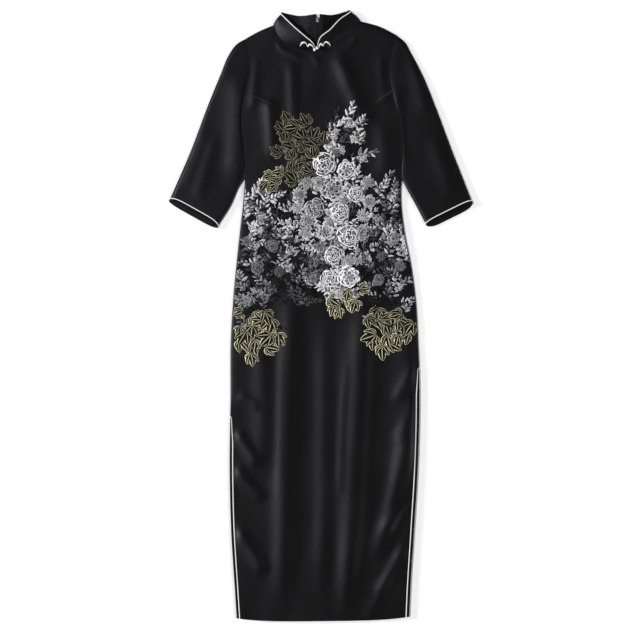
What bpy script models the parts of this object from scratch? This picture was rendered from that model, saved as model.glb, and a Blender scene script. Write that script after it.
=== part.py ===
"""A cheongsam dress laid flat with its front up: three-quarter sleeves, mandarin collar, side slits
with piped and bound edges, a frog fastening at the neck and a zip at the centre back.

Metres, +Z up, +Y towards the collar, +X to the right as seen from above. The underside lies on z = 0
and the origin is under the middle of the dress. Every cloth piece is an open grid of points, the face
that looks away from the cloth, and a Solidify modifier gives it the wall.
"""

import math
from collections import namedtuple

import bmesh
import bpy
import numpy as np
from mathutils import Vector
from mathutils.bvhtree import BVHTree

# --- Cloth and seams -------------------------------------------------------------------------------
CLOTH = 0.0012  # wall of the dress cloth
COLLAR_WALL = 0.0015  # wall of the stiffened collar
PIPING_WALL = 0.0020
BINDING_WALL = 0.0016
SEAM = 0.0003  # gap between sewn pieces
EDGE_PIPING = 0.0028  # width of the white piping on slits and cuffs
EDGE_BINDING = 0.0050  # width of the black binding outside it
COLLAR_PIPING = 0.0028
COLLAR_BINDING = 0.0036

# --- Levels: how high the underside of each layer lies ---------------------------------------------
SEAM_LEVEL = CLOTH + SEAM  # front panel at its side and shoulder seams
SLIT_LEVEL = 0.0026  # front panel along the open slits, above the back edge's trim
FRONT_BED = 0.0027  # front panel between the seams
MOST_FOLD = 0.0023  # how far the folds may raise the front
ROLL = 0.010  # width over which the cloth rounds down to a seam
TRIM_LIFT = 0.0001  # trim stays just off the surface that the dress lies on

# --- Lengths along the dress -----------------------------------------------------------------------
SLIT_TOP = {"left": -0.2150, "right": -0.1100}
SLIT_NOTCH = 0.004  # height over which the panel steps in at the top of a slit
SLIT_TAPER = 0.060  # height over which the trim reaches its full width
SLIT_TRIM_START = 0.35  # share of that width at the top of the slit
HEM = {"left": -0.6499, "right": -0.6465}
HEM_DROP = 0.0077  # the hem's middle hangs lower than its corners
SKIRT_BASE = -0.6200  # first straight row above the hem
WAIST_Y = 0.2555
UNDERARM = 0.2950
YOKE_SHARE = 0.80  # share of the armhole's height where the rows begin to follow the neckline
ARMHOLE_SHARES = (0, 0.008, 0.05, 0.13, 0.24, 0.35, 0.46, 0.57, 0.68, YOKE_SHARE, 0.88, 0.95, 0.992, 1)

# --- Centre back and zip ---------------------------------------------------------------------------
BACK_X = -0.0072
BACK_GAP = 0.0015  # between the two collar ends, where the zip runs
TAPE_WIDTH = 0.0100
TAPE_WALL = 0.0008
TAPE_TOP = 0.6406
TAPE_FOOT = 0.0950
LIFT = 0.0026  # the pull tab under the collar holds it this far off the surface
LIFT_REACH = 0.045
LIFT_START, LIFT_FULL = 0.582, 0.612
SLIDER_Y = 0.6361
SLIDER = (0.0068, 0.0098, 0.0016)
NECK_WALL = 0.0009  # plate that joins the slider to the pull tab's eye
EYE_RADIUS = 0.0010
EYE_HOLE = 0.00065
PIN_RADIUS = 0.00035
HINGE = (BACK_X, 0.6372, 0.00125)
TAB_WIDTH = 0.0050
TAB_LENGTH = 0.0200
TAB_WALL = 0.0010
TAB_SLOT = 0.0015
TAB_SLOT_DEPTH = 0.0015

# --- Outline ---------------------------------------------------------------------------------------
Section = namedtuple("Section", "name y left right")
BODY_SECTIONS = (
    Section("hem", -0.6500, -0.1808, 0.1895),
    Section("ankle", -0.5935, -0.1845, 0.1920),
    Section("calf", -0.4560, -0.1930, 0.2005),
    Section("below knee", -0.3185, -0.1960, 0.2085),
    Section("knee", -0.1810, -0.1943, 0.2118),
    Section("thigh", -0.0520, -0.1937, 0.2092),
    Section("hip", 0.0300, -0.1890, 0.2045),
    Section("high hip", 0.1075, -0.1820, 0.1945),
    Section("below waist", 0.1825, -0.1740, 0.1800),
    Section("waist", 0.2555, -0.1660, 0.1727),
    Section("underarm", 0.2950, -0.1633, 0.1736),
    Section("armhole low", 0.3655, -0.1680, 0.1760),
    Section("armhole middle", 0.4150, -0.1732, 0.1730),
    Section("armhole inset", 0.4660, -0.1688, 0.1575),
    Section("armhole narrow", 0.5300, -0.1530, 0.1482),
    Section("shoulder", 0.6000, -0.1612, 0.1630),
)

Point = namedtuple("Point", "name x y")
SHOULDER = {
    "left": (
        Point("tip", -0.1610, 0.5960),
        Point("middle", -0.1340, 0.6110),
        Point("neck", -0.1000, 0.6255),
    ),
    "right": (
        Point("tip", 0.1635, 0.6025),
        Point("middle", 0.1290, 0.6205),
        Point("neck", 0.0825, 0.6340),
    ),
}
FRONT_NECK = {
    "left": (
        Point("neck", -0.1000, 0.6255),
        Point("side", -0.0970, 0.6110),
        Point("turn", -0.0860, 0.5950),
        Point("lower", -0.0560, 0.5785),
        Point("centre", -0.0083, 0.5675),
    ),
    "right": (
        Point("neck", 0.0825, 0.6340),
        Point("side", 0.0795, 0.6230),
        Point("turn", 0.0690, 0.6110),
        Point("lower", 0.0345, 0.5875),
        Point("centre", -0.0083, 0.5675),
    ),
}
BACK_NECK = {
    "left": (
        Point("neck", -0.1000, 0.6255),
        Point("side", -0.0700, 0.6135),
        Point("centre", BACK_X, 0.6070),
    ),
    "right": (
        Point("neck", 0.0825, 0.6340),
        Point("side", 0.0540, 0.6165),
        Point("centre", BACK_X, 0.6070),
    ),
}
COLLAR_BACK_TOP = {
    "left": (
        Point("fold", -0.0814, 0.6513),
        Point("middle", -0.0440, 0.6450),
        Point("centre", -0.0100, 0.6490),
    ),
    "right": (
        Point("fold", 0.0584, 0.6556),
        Point("middle", 0.0218, 0.6470),
        Point("centre", -0.0024, 0.6490),
    ),
}
COLLAR_FRONT_TOP = {
    "left": (
        Point("fold", -0.0800, 0.6503),
        Point("upper", -0.0554, 0.6261),
        Point("middle", -0.0294, 0.6034),
        Point("turn", -0.0170, 0.5925),
        Point("centre", -0.0116, 0.5810),
    ),
    "right": (
        Point("fold", 0.0572, 0.6546),
        Point("upper", 0.0378, 0.6415),
        Point("middle", 0.0160, 0.6185),
        Point("turn", -0.0050, 0.6010),
        Point("centre", -0.0104, 0.5810),
    ),
}
Level = namedtuple("Level", "share lower upper")
COLLAR_FRONT_LEVELS = (  # outer face of the collar's front part, from the fold to the centre front
    Level(0.00, 0.0050, 0.0066),
    Level(0.30, 0.0047, 0.0100),
    Level(0.60, 0.0043, 0.0112),
    Level(0.85, 0.0042, 0.0088),
    Level(1.00, 0.0042, 0.0070),
)

SLEEVE_OUTER = {
    "left": (
        Point("cap", -0.1803, 0.5846),
        Point("cap side", -0.1953, 0.5652),
        Point("upper arm", -0.2168, 0.5158),
        Point("middle", -0.2448, 0.4470),
        Point("elbow", -0.2770, 0.3610),
        Point("cuff", -0.3270, 0.2468),
    ),
    "right": (
        Point("cap", 0.1809, 0.5878),
        Point("cap side", 0.1938, 0.5652),
        Point("upper arm", 0.2196, 0.5158),
        Point("middle", 0.2476, 0.4470),
        Point("elbow", 0.2798, 0.3610),
        Point("cuff", 0.3270, 0.2424),
    ),
}
SLEEVE_INNER = {
    "left": (
        Point("below underarm", -0.1760, 0.2750),
        Point("middle", -0.1920, 0.2390),
        Point("cuff", -0.2232, 0.1888),
    ),
    "right": (
        Point("below underarm", 0.1835, 0.2755),
        Point("middle", 0.2040, 0.2380),
        Point("cuff", 0.2275, 0.1930),
    ),
}
Cuff = namedtuple("Cuff", "upper lower")  # how far each layer's edge bows out
CUFFS = {"left": Cuff(-0.0065, 0.0040), "right": Cuff(-0.0034, 0.0080)}
CUFF_SEAM = 0.0006  # gap between the cuff's bands, measured out of the cuff and not square to them
CUFF_BLUNTNESS = 4  # the higher, the blunter the mouth's two corners
SLEEVE_HEIGHT = {"armhole": FRONT_BED + CLOTH, "cuff": 0.0058}
SLEEVE_STEPS = 9
ARMHOLE_GAP = 0.0005  # between the panels and the sleeve's end, measured square to the seam
CORNER_STEP = 0.0020  # the sleeve's two folded corners stand back this far from the seam

# --- Folds: soft ridges from one end to the other, bowed sideways ----------------------------------
Fold = namedtuple("Fold", "name x1 y1 x2 y2 bow width height")
FRONT_FOLDS = (
    Fold("skirt left", -0.064, 0.060, -0.100, -0.600, -0.012, 0.016, 0.0024),
    Fold("skirt middle", 0.004, -0.020, 0.002, -0.610, 0.004, 0.018, 0.0012),
    Fold("skirt right", 0.060, 0.050, 0.034, -0.620, 0.006, 0.015, 0.0022),
    Fold("knee sweep", 0.174, -0.215, 0.098, -0.500, 0.008, 0.010, 0.0018),
    Fold("calf nick", 0.186, -0.424, 0.138, -0.468, 0.000, 0.008, 0.0012),
    Fold("ankle sweep", 0.178, -0.500, 0.120, -0.588, 0.004, 0.010, 0.0014),
    Fold("slit pull", -0.180, -0.256, -0.142, -0.300, 0.000, 0.008, 0.0012),
    Fold("bust right", 0.018, 0.548, 0.076, 0.446, 0.006, 0.014, 0.0018),
    Fold("bust left", -0.070, 0.525, -0.072, 0.425, 0.000, 0.011, 0.0014),
    Fold("side left", -0.122, 0.450, -0.112, 0.345, 0.004, 0.013, 0.0014),
)
SLEEVE_FOLDS = {
    "left": (
        Fold("upper arm", -0.192, 0.500, -0.200, 0.380, 0.004, 0.011, 0.0014),
        Fold("elbow", -0.232, 0.370, -0.272, 0.262, 0.000, 0.014, 0.0008),
    ),
    "right": (
        Fold("crease", 0.176, 0.480, 0.194, 0.310, -0.008, 0.009, 0.0014),
        Fold("elbow", 0.236, 0.370, 0.280, 0.256, 0.000, 0.014, 0.0010),
    ),
}
EDGE_CALM = 0.020  # folds die out over this distance from a seam

# --- Frog fastening --------------------------------------------------------------------------------
FROG_CORD = 0.0013  # radius of the cord
FROG_PATH = {
    "left": (
        Point("root", -0.0155, 0.5755),
        Point("small lobe", -0.0240, 0.5835),
        Point("valley", -0.0292, 0.5795),
        Point("big lobe", -0.0370, 0.5880),
        Point("tip", -0.0444, 0.5805),
        Point("foot", -0.0385, 0.5725),
        Point("heel", -0.0260, 0.5722),
    ),
    "right": (
        Point("root", -0.0008, 0.5760),
        Point("small lobe", 0.0030, 0.5835),
        Point("valley", 0.0070, 0.5798),
        Point("big lobe", 0.0130, 0.5882),
        Point("tip", 0.0198, 0.5812),
        Point("foot", 0.0150, 0.5728),
        Point("heel", 0.0060, 0.5722),
    ),
}
FROG_STEPS = 30
KNOT = (-0.0085, 0.5738)
KNOT_SIZE = (0.0100, 0.0062, 0.0040)

SIDES = ("left", "right")
SIGN = {"left": -1.0, "right": 1.0}

Finish = namedtuple("Finish", "colour roughness metallic")
FINISHES = {
    "black_satin": Finish((0.012, 0.012, 0.014), 0.45, 0.0),
    "white_piping": Finish((0.80, 0.80, 0.78), 0.60, 0.0),
    "black_binding": Finish((0.008, 0.008, 0.009), 0.55, 0.0),
    "zip_tape": Finish((0.010, 0.010, 0.010), 0.80, 0.0),
    "zip_metal": Finish((0.45, 0.45, 0.46), 0.35, 1.0),
}


# --- Curves and heights ----------------------------------------------------------------------------
def smooth(value):
    """0 below 0, 1 above 1, and an S between."""
    value = np.clip(value, 0, 1)
    return value * value * (3 - 2 * value)


def hermite(knots, values, at):
    """A smooth curve through `values` at `knots`, read at `at`."""
    slopes = np.gradient(values, knots, axis=0)
    index = np.clip(np.searchsorted(knots, at, side="right") - 1, 0, len(knots) - 2)
    span = knots[index + 1] - knots[index]
    t = (at - knots[index]) / span
    if values.ndim > 1:
        t, span = t[:, None], span[:, None]
    before, after = values[index], values[index + 1]
    return (
        (2 * t**3 - 3 * t**2 + 1) * before
        + (t**3 - 2 * t**2 + t) * span * slopes[index]
        + (3 * t**2 - 2 * t**3) * after
        + (t**3 - t**2) * span * slopes[index + 1]
    )


def along(points, shares):
    """Points at these shares of the length of a smooth curve through `points`."""
    points = np.array([point[-2:] if isinstance(point, Point) else point for point in points], float)
    steps = np.linalg.norm(np.diff(points, axis=0), axis=1)
    knots = np.concatenate([[0], np.cumsum(steps)]) / steps.sum()
    return hermite(knots, points, np.asarray(shares, float))


def beside(points, distance):
    """A row of points moved sideways, to the left of its own direction."""
    tangents = np.gradient(points, axis=0)
    tangents /= np.linalg.norm(tangents, axis=1)[:, None]
    return points + distance * np.stack([-tangents[:, 1], tangents[:, 0]], axis=1)


def outline_x(side, y):
    """Where the dress's edge lies at height y on one side."""
    knots = np.array([section.y for section in BODY_SECTIONS])
    values = np.array([getattr(section, side) for section in BODY_SECTIONS])
    return hermite(knots, values, np.asarray(y, float))


def folds_at(x, y, folds):
    """Height that the folds add at each point: a round ridge each, fading at both ends."""
    total = np.zeros_like(x)
    for fold in folds:
        run = np.array([fold.x2 - fold.x1, fold.y2 - fold.y1])
        length = np.linalg.norm(run)
        run /= length
        t = ((x - fold.x1) * run[0] + (y - fold.y1) * run[1]) / length
        off = -(x - fold.x1) * run[1] + (y - fold.y1) * run[0]
        off = off - fold.bow * 4 * np.clip(t, 0, 1) * (1 - np.clip(t, 0, 1))
        ends = smooth(t / 0.25) * smooth((1 - t) / 0.25)
        total += fold.height * np.exp(-((off / fold.width) ** 2)) * ends
    return MOST_FOLD * np.tanh(total / MOST_FOLD)


def lift_at(x, y):
    """How far the pull tab holds the neck of the back off the surface."""
    across = smooth(1 - np.abs(x - BACK_X) / LIFT_REACH + 0.12)
    return LIFT * across * smooth((y - LIFT_START) / (LIFT_FULL - LIFT_START))


def rounded(distance, width):
    """A quarter round from 0 at a seam to 1 at `width` from it."""
    return np.sqrt(1 - (1 - np.clip(distance / width, 0, 1)) ** 2)


# --- Rows of the body ------------------------------------------------------------------------------
def skirt_levels():
    """Heights of the rows from the hem to the underarm, with one pair at the top of each slit."""
    left, right = SLIT_TOP["left"], SLIT_TOP["right"]
    return np.concatenate(
        [
            np.linspace(SKIRT_BASE, left - SLIT_NOTCH, 10),
            np.linspace(left, right - SLIT_NOTCH, 4),
            np.linspace(right, UNDERARM, 10)[:-1],
        ]
    )


def row_levels(side):
    """Height of every row at one side: hem, skirt, then shares of the armhole up to the shoulder tip."""
    tip = SHOULDER[side][0].y
    armhole = UNDERARM + (tip - UNDERARM) * np.array(ARMHOLE_SHARES)
    return np.concatenate([[HEM[side]], skirt_levels(), armhole])


FIRST_ARMHOLE_ROW = 1 + len(skirt_levels())
YOKE_ROW = FIRST_ARMHOLE_ROW + ARMHOLE_SHARES.index(YOKE_SHARE)


def trim_share(side, y):
    """Width of the slit trim at height y, as a share of its full width, and 0 above the slit."""
    below = SLIT_TOP[side] - y
    share = np.clip(SLIT_TRIM_START + (1 - SLIT_TRIM_START) * below / SLIT_TAPER, SLIT_TRIM_START, 1)
    return np.where(below > SLIT_NOTCH / 2, share, 0)


def side_edge(side, inset=lambda share: 0 * share):
    """One side of a panel, a point for each row, moved in by inset(share of the trim)."""
    y = row_levels(side)
    share = trim_share(side, y)
    x = outline_x(side, y) - SIGN[side] * np.where(share > 0, inset(share), 0)
    tip = SHOULDER[side][0]
    x[-1] = tip.x
    return np.stack([x, y], axis=1)


def panel_inset(share):
    return (EDGE_BINDING + EDGE_PIPING) * share + 2 * SEAM


def centre_back_edge(side):
    """The sewn edge at the centre back, a point for each row."""
    left, right = side_edge("left"), side_edge("right")
    share = (BACK_X - left[:, 0]) / (right[:, 0] - left[:, 0])
    y = left[:, 1] + share * (right[:, 1] - left[:, 1])
    y[0] -= HEM_DROP
    return np.stack([np.full_like(y, BACK_X + SIGN[side] * SEAM / 2), y], axis=1)


def panel_points(left, right, top, hem_shares):
    """Plan of a panel. Columns stand at hem_shares of the width at the hem and run to the points of `top`;
    the rows are level up to the yoke and then bend towards the shoulder and neck."""
    top_shares = (top[:, 0] - left[-1, 0]) / (right[-1, 0] - left[-1, 0])
    blend = smooth((left[:, 1] - WAIST_Y) / (left[YOKE_ROW, 1] - WAIST_Y))[:, None]
    shares = hem_shares + (top_shares - hem_shares) * blend
    x = left[:, :1] + (right[:, :1] - left[:, :1]) * shares
    y = left[:, 1:] + (right[:, 1:] - left[:, 1:]) * shares
    climb = (left[YOKE_ROW:, 1:] - left[YOKE_ROW, 1]) / (left[-1, 1] - left[YOKE_ROW, 1])
    y[YOKE_ROW:] = y[YOKE_ROW] + (top[:, 1] - y[YOKE_ROW]) * climb
    x[YOKE_ROW:] = x[YOKE_ROW] + (top[:, 0] - x[YOKE_ROW]) * climb
    for edge, nearness in ((left, (1 - top_shares) ** 8), (right, top_shares**8)):
        straight = edge[YOKE_ROW, 0] + (edge[-1, 0] - edge[YOKE_ROW, 0]) * climb
        x[YOKE_ROW:] += (edge[YOKE_ROW:, :1] - straight) * nearness
    return x, y


def hem_drop(x):
    """The hem's curve: level in the middle, turning up at the corners."""
    left, right = outline_x("left", HEM["left"]), outline_x("right", HEM["right"])
    across = np.clip((2 * x - left - right) / (right - left), -1, 1)
    return HEM_DROP * (1 - across**4)


# --- Objects ---------------------------------------------------------------------------------------
def clear_scene():
    for obj in list(bpy.data.objects):
        bpy.data.objects.remove(obj, do_unlink=True)


def make_materials():
    made = {}
    for name, finish in FINISHES.items():
        material = bpy.data.materials.new(name)
        material.use_nodes = True
        shader = material.node_tree.nodes["Principled BSDF"]
        shader.inputs["Base Color"].default_value = (*finish.colour, 1)
        shader.inputs["Roughness"].default_value = finish.roughness
        shader.inputs["Metallic"].default_value = finish.metallic
        made[name] = material
    return made


def add_object(name, mesh, material):
    obj = bpy.data.objects.new(name, mesh)
    mesh.materials.append(material)
    mesh.shade_smooth()
    DRESS.objects.link(obj)
    return obj


def add_wall(name, grid, thickness, material, ring=False, flip=False):
    """A cloth wall. `grid` (rows x columns x 3) is the face that looks away from the cloth; its normals
    follow rows x columns by the right-hand rule, or the other way with `flip`."""
    rows, columns = grid.shape[:2]
    index = np.arange(rows * columns).reshape(rows, columns)
    if ring:
        index = np.hstack([index, index[:, :1]])
    quads = np.stack([index[:-1, :-1], index[:-1, 1:], index[1:, 1:], index[1:, :-1]], axis=-1)
    quads = quads.reshape(-1, 4)
    mesh = bpy.data.meshes.new(name)
    mesh.from_pydata(grid.reshape(-1, 3).tolist(), [], (quads[:, ::-1] if flip else quads).tolist())
    obj = add_object(name, mesh, MATERIALS[material])
    solidify = obj.modifiers.new("wall", "SOLIDIFY")
    solidify.thickness = thickness
    solidify.offset = -1
    solidify.use_even_offset = True
    return obj


def points_of(x, y, z):
    return np.stack(np.broadcast_arrays(x, y, z), axis=-1)


# --- Front and back --------------------------------------------------------------------------------
SHOULDER_SHARES = (0, 0.05, 0.16, 0.42, 0.72, 1)
BACK_SHOULDER_SHARES = (0, 0.45, 1)
NECK_COLUMNS = 8  # columns along each half of the front neckline
BACK_NECK_COLUMNS = 5


def front_top():
    """Shoulder, neckline and shoulder, from left to right."""
    neck = np.linspace(0, 1, NECK_COLUMNS + 1)
    return np.concatenate(
        [
            along(SHOULDER["left"], SHOULDER_SHARES),
            along(FRONT_NECK["left"], neck)[1:],
            along(FRONT_NECK["right"], neck)[::-1][1:],
            along(SHOULDER["right"], SHOULDER_SHARES)[::-1][1:],
        ]
    )


def back_top(side):
    """Shoulder and half of the back neckline, from left to right."""
    neck = np.linspace(0, 1, BACK_NECK_COLUMNS + 1)
    points = np.concatenate(
        [along(SHOULDER[side], BACK_SHOULDER_SHARES), along(BACK_NECK[side], neck)[1:]]
    )
    points[-1, 0] += SIGN[side] * SEAM / 2
    return points if side == "left" else points[::-1]


def side_level(side, y):
    """Level of the front panel's underside at its side edge: low at the sewn seam, a little higher over
    the slit's back trim, and at the bed's level round the armhole."""
    slit = SEAM_LEVEL + (SLIT_LEVEL - SEAM_LEVEL) * smooth((SLIT_TOP[side] - y) / SLIT_TAPER + 1)
    return slit + (FRONT_BED - slit) * smooth((y - UNDERARM) / 0.03 + 1)


def front_level(x, y, top):
    """Underside of the front panel."""
    level = np.full_like(x, FRONT_BED)
    calm = np.ones_like(x)
    for side in SIDES:
        edge = outline_x(side, y[:, :1] if side == "left" else y[:, -1:])
        distance = SIGN[side] * (edge - x)
        low = side_level(side, y)
        level = np.minimum(level, low + (FRONT_BED - low) * rounded(distance, ROLL))
        calm *= smooth(distance / EDGE_CALM)
    shoulder = np.isin(np.arange(x.shape[1]), shoulder_columns())
    below_top = top[:, 1] - y
    drop = SEAM_LEVEL + (FRONT_BED - SEAM_LEVEL) * rounded(below_top, ROLL)
    level = np.where(shoulder, np.minimum(level, drop), level)
    calm *= smooth(below_top / EDGE_CALM)
    return level + calm * folds_at(x, y, FRONT_FOLDS)


def shoulder_columns():
    count = len(front_top())
    reach = len(SHOULDER_SHARES)
    return np.r_[0:reach, count - reach : count]


def hem_columns(count):
    """Shares of the width for the columns at the hem, closer together near the sides."""
    near = np.array([0, 0.010, 0.030])
    return np.concatenate([near, np.linspace(0.065, 0.935, count - 6), 1 - near[::-1]])


def make_front():
    top = front_top()
    left, right = side_edge("left", panel_inset), side_edge("right", panel_inset)
    x, y = panel_points(left, right, top, hem_columns(len(top)))
    y[0] -= hem_drop(x[0])
    add_wall("front_panel", points_of(x, y, front_level(x, y, top)), CLOTH, "black_satin", flip=True)


def make_back(side):
    top = back_top(side)
    edges = side_edge(side, panel_inset), centre_back_edge(side)
    left, right = edges if side == "left" else edges[::-1]
    x, y = panel_points(left, right, top, np.linspace(0, 1, len(top)))
    y[0] = HEM[side] - hem_drop(x[0])
    add_wall(f"back_panel_{side}", points_of(x, y, lift_at(x, y)), CLOTH, "black_satin", flip=True)


# --- Trim of the slits -----------------------------------------------------------------------------
def make_slit_trim(layer, side, base):
    """Piping and binding down one slit edge, from the slit's top to the hem."""
    rows = row_levels(side) < SLIT_TOP[side] - SLIT_NOTCH / 2
    bands = (
        ("binding", BINDING_WALL, lambda share: 0 * share, lambda share: EDGE_BINDING * share),
        (
            "piping",
            PIPING_WALL,
            lambda share: EDGE_BINDING * share + SEAM,
            lambda share: (EDGE_BINDING + EDGE_PIPING) * share + SEAM,
        ),
    )
    for name, thickness, outer, inner in bands:
        edges = [side_edge(side, inset)[rows] for inset in (outer, inner)]
        for edge in edges:
            edge[0, 1] -= hem_drop(edge[0, 0])
        plan = np.stack(edges if side == "left" else edges[::-1], axis=1)
        slot = "black_binding" if name == "binding" else "white_piping"
        grid = points_of(plan[..., 0], plan[..., 1], base)
        add_wall(f"{layer}_{side}_{name}", grid, thickness, slot, flip=True)


# --- Sleeves ---------------------------------------------------------------------------------------
def cuff_direction(side):
    """Unit vector out of the cuff, square to the line between its corners."""
    outer, inner = (np.array(edge[side][-1][-2:]) for edge in (SLEEVE_OUTER, SLEEVE_INNER))
    run = (inner - outer) / np.linalg.norm(inner - outer)
    out = np.array([-run[1], run[0]])
    return out if out[1] < 0 else -out


def cuff_edge(side, shares, layer):
    """Edge of the upper or lower layer of the cuff, from its outer corner to its inner corner."""
    outer, inner = (np.array(edge[side][-1][-2:]) for edge in (SLEEVE_OUTER, SLEEVE_INNER))
    shares = shares[:, None]
    bow = getattr(CUFFS[side], layer) * (1 - (2 * shares - 1) ** CUFF_BLUNTNESS)
    return outer + (inner - outer) * shares + cuff_direction(side) * bow


def coons(start, end, first, last):
    """Plan points between four curves: start and end run across, first and last run along."""
    across = np.linspace(0, 1, len(first))[:, None, None]
    ends = np.linalg.norm(start - start[0], axis=1) / np.linalg.norm(start[-1] - start[0])
    along_share = ends[None, :, None]
    ruled = start * (1 - across) + end * across
    sides = first[:, None] * (1 - along_share) + last[:, None] * along_share
    corners = (
        start[0] * (1 - along_share) * (1 - across)
        + start[-1] * along_share * (1 - across)
        + end[0] * (1 - along_share) * across
        + end[-1] * along_share * across
    )
    return ruled + sides - corners


def sleeve_layer(side, layer, inset):
    """Plan of one layer of the sleeve, rows from the armhole to the cuff, columns from the outer fold to
    the inner one. It stops `inset` short of the cuff's edge."""
    armhole = beside(side_edge(side)[FIRST_ARMHOLE_ROW:][::-1], SIGN[side] * ARMHOLE_GAP)
    for end, edge in ((0, SLEEVE_OUTER), (-1, SLEEVE_INNER)):
        step = np.array(edge[side][0][-2:]) - armhole[end]
        armhole[end] += step / np.linalg.norm(step) * CORNER_STEP
    shares = 1 - np.array(ARMHOLE_SHARES[::-1])
    back = cuff_direction(side) * inset
    cuff = cuff_edge(side, shares, layer) - back
    steps = np.linspace(0, 1, SLEEVE_STEPS + 1)
    outer = along([armhole[0], *(p[-2:] for p in SLEEVE_OUTER[side][:-1]), cuff[0]], steps)
    inner = along([armhole[-1], *(p[-2:] for p in SLEEVE_INNER[side][:-1]), cuff[-1]], steps)
    return coons(armhole, cuff, outer, inner)


def sleeve_ring(top, bottom, height, folds, base=0.0):
    """Rings round the flattened tube: upper layer from the outer fold to the inner one, then the lower
    layer back. The outer face of the lower layer lies at `base`."""
    raised = folds_at(top[..., 0], top[..., 1], folds)
    span = np.linspace(0, 1, top.shape[1])
    upper = points_of(top[..., 0], top[..., 1], base + height + raised * np.sin(math.pi * span))
    lower = points_of(bottom[..., 0], bottom[..., 1], base)
    upper[:, 0, 2] = upper[:, -1, 2] = (base + height / 2)[:, 0]
    return np.concatenate([upper, lower[:, -2:0:-1]], axis=1)


def make_sleeve(side):
    inset = EDGE_BINDING + EDGE_PIPING + 2 * CUFF_SEAM
    top, bottom = (sleeve_layer(side, layer, inset) for layer in Cuff._fields)
    height = np.linspace(SLEEVE_HEIGHT["armhole"], SLEEVE_HEIGHT["cuff"], len(top))[:, None]
    grid = sleeve_ring(top, bottom, height, SLEEVE_FOLDS[side])
    add_wall(f"sleeve_{side}", grid, CLOTH, "black_satin", ring=True, flip=side == "left")


def make_cuff_trim(side):
    """Piping and binding round the cuff, each a short piece of the same flattened tube."""
    shares = 1 - np.array(ARMHOLE_SHARES[::-1])
    out = cuff_direction(side)
    bands = (
        (
            "piping",
            PIPING_WALL,
            EDGE_BINDING + EDGE_PIPING + CUFF_SEAM,
            EDGE_BINDING + CUFF_SEAM,
        ),
        ("binding", BINDING_WALL, EDGE_BINDING, 0.0),
    )
    for name, thickness, start, end in bands:
        layers = [
            np.stack([cuff_edge(side, shares, layer) - out * inset for inset in (start, end)])
            for layer in Cuff._fields
        ]
        height = np.full((2, 1), SLEEVE_HEIGHT["cuff"])
        grid = sleeve_ring(*layers, height, (), TRIM_LIFT)
        slot = "black_binding" if name == "binding" else "white_piping"
        add_wall(f"cuff_{side}_{name}", grid, thickness, slot, ring=True, flip=side == "left")


# --- Collar ----------------------------------------------------------------------------------------
COLLAR_GAP = 0.0007  # between the collar and the neckline, measured square to the seam
FOLD_ANGLES = (math.pi / 4, math.pi / 2, 3 * math.pi / 4)


def collar_columns(side):
    """Lower and upper end of each column of the collar's outer face, from the centre back round the fold
    at the side of the neck to the centre front."""
    back_shares = np.linspace(1, 0, BACK_NECK_COLUMNS + 1)
    front_shares = np.linspace(0, 1, NECK_COLUMNS + 1)
    turn = -SIGN[side]
    back_lower = beside(along(BACK_NECK[side], 1 - back_shares), turn * COLLAR_GAP)[::-1]
    back_upper = along(COLLAR_BACK_TOP[side], back_shares)
    back_lower[0, 0] = BACK_X + SIGN[side] * BACK_GAP / 2
    front_lower = beside(along(FRONT_NECK[side], front_shares), turn * COLLAR_GAP)
    front_upper = along(COLLAR_FRONT_TOP[side], front_shares)
    front_lower[-1, 0] += SIGN[side] * COLLAR_GAP / 2
    fold = back_upper[-1] - back_lower[-1]
    fold /= np.linalg.norm(fold)
    neck = np.array(FRONT_NECK[side][0][-2:]) + 2 * SEAM * fold
    back_lower[-1] = front_lower[0] = neck

    back = [points_of(*ends.T, lift_at(*ends.T)) for ends in (back_lower, back_upper)]
    shares = np.array([level.share for level in COLLAR_FRONT_LEVELS])
    front = []
    for ends, name in ((front_lower, "lower"), (front_upper, "upper")):
        levels = np.array([getattr(level, name) for level in COLLAR_FRONT_LEVELS])
        front.append(points_of(*ends.T, hermite(shares, levels, front_shares)))
    outward = np.array([SIGN[side] * fold[1], -SIGN[side] * fold[0], 0])
    columns = []
    for low_end, high_end in zip(back, front):
        middle, half = (low_end[-1] + high_end[0]) / 2, (high_end[0] - low_end[-1]) / 2
        bend = [
            middle - half * math.cos(angle) + outward * abs(half[2]) * math.sin(angle)
            for angle in FOLD_ANGLES
        ]
        columns.append(np.concatenate([low_end, bend, high_end]))
    return columns


def collar_band(lower, upper, start, end, steps):
    """Rows between two distances from the collar's free edge."""
    height = np.linalg.norm(upper - lower, axis=1)[:, None]
    rows = [
        upper + (lower - upper) * np.minimum(distance / height, 1)
        for distance in np.linspace(start, end, steps + 1)
    ]
    return np.stack(rows)


def make_collar(side):
    lower, upper = collar_columns(side)
    edge = COLLAR_BINDING + SEAM
    trim = edge + COLLAR_PIPING + SEAM
    height = np.linalg.norm(upper - lower, axis=1)[:, None]
    rows = [lower + (upper - lower) * (1 - trim / height) * share for share in np.linspace(0, 1, 4)]
    bands = (
        (f"collar_{side}", np.stack(rows), COLLAR_WALL, "black_satin", side == "right"),
        (
            f"collar_{side}_piping",
            collar_band(lower, upper, edge, edge + COLLAR_PIPING, 1),
            PIPING_WALL,
            "white_piping",
            side == "left",
        ),
        (
            f"collar_{side}_binding",
            collar_band(lower, upper, 0, COLLAR_BINDING, 1),
            BINDING_WALL,
            "black_binding",
            side == "left",
        ),
    )
    for name, grid, thickness, slot, flip in bands:
        add_wall(name, grid, thickness, slot, flip=flip)


# --- Zip -------------------------------------------------------------------------------------------
def tape_level(x, y):
    """Underside of the tape, on the back panel and then on the collar's inner face."""
    on_collar = smooth((y - 0.590) / 0.010)
    return CLOTH + (COLLAR_WALL - CLOTH) * on_collar + SEAM + lift_at(x, y)


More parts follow.
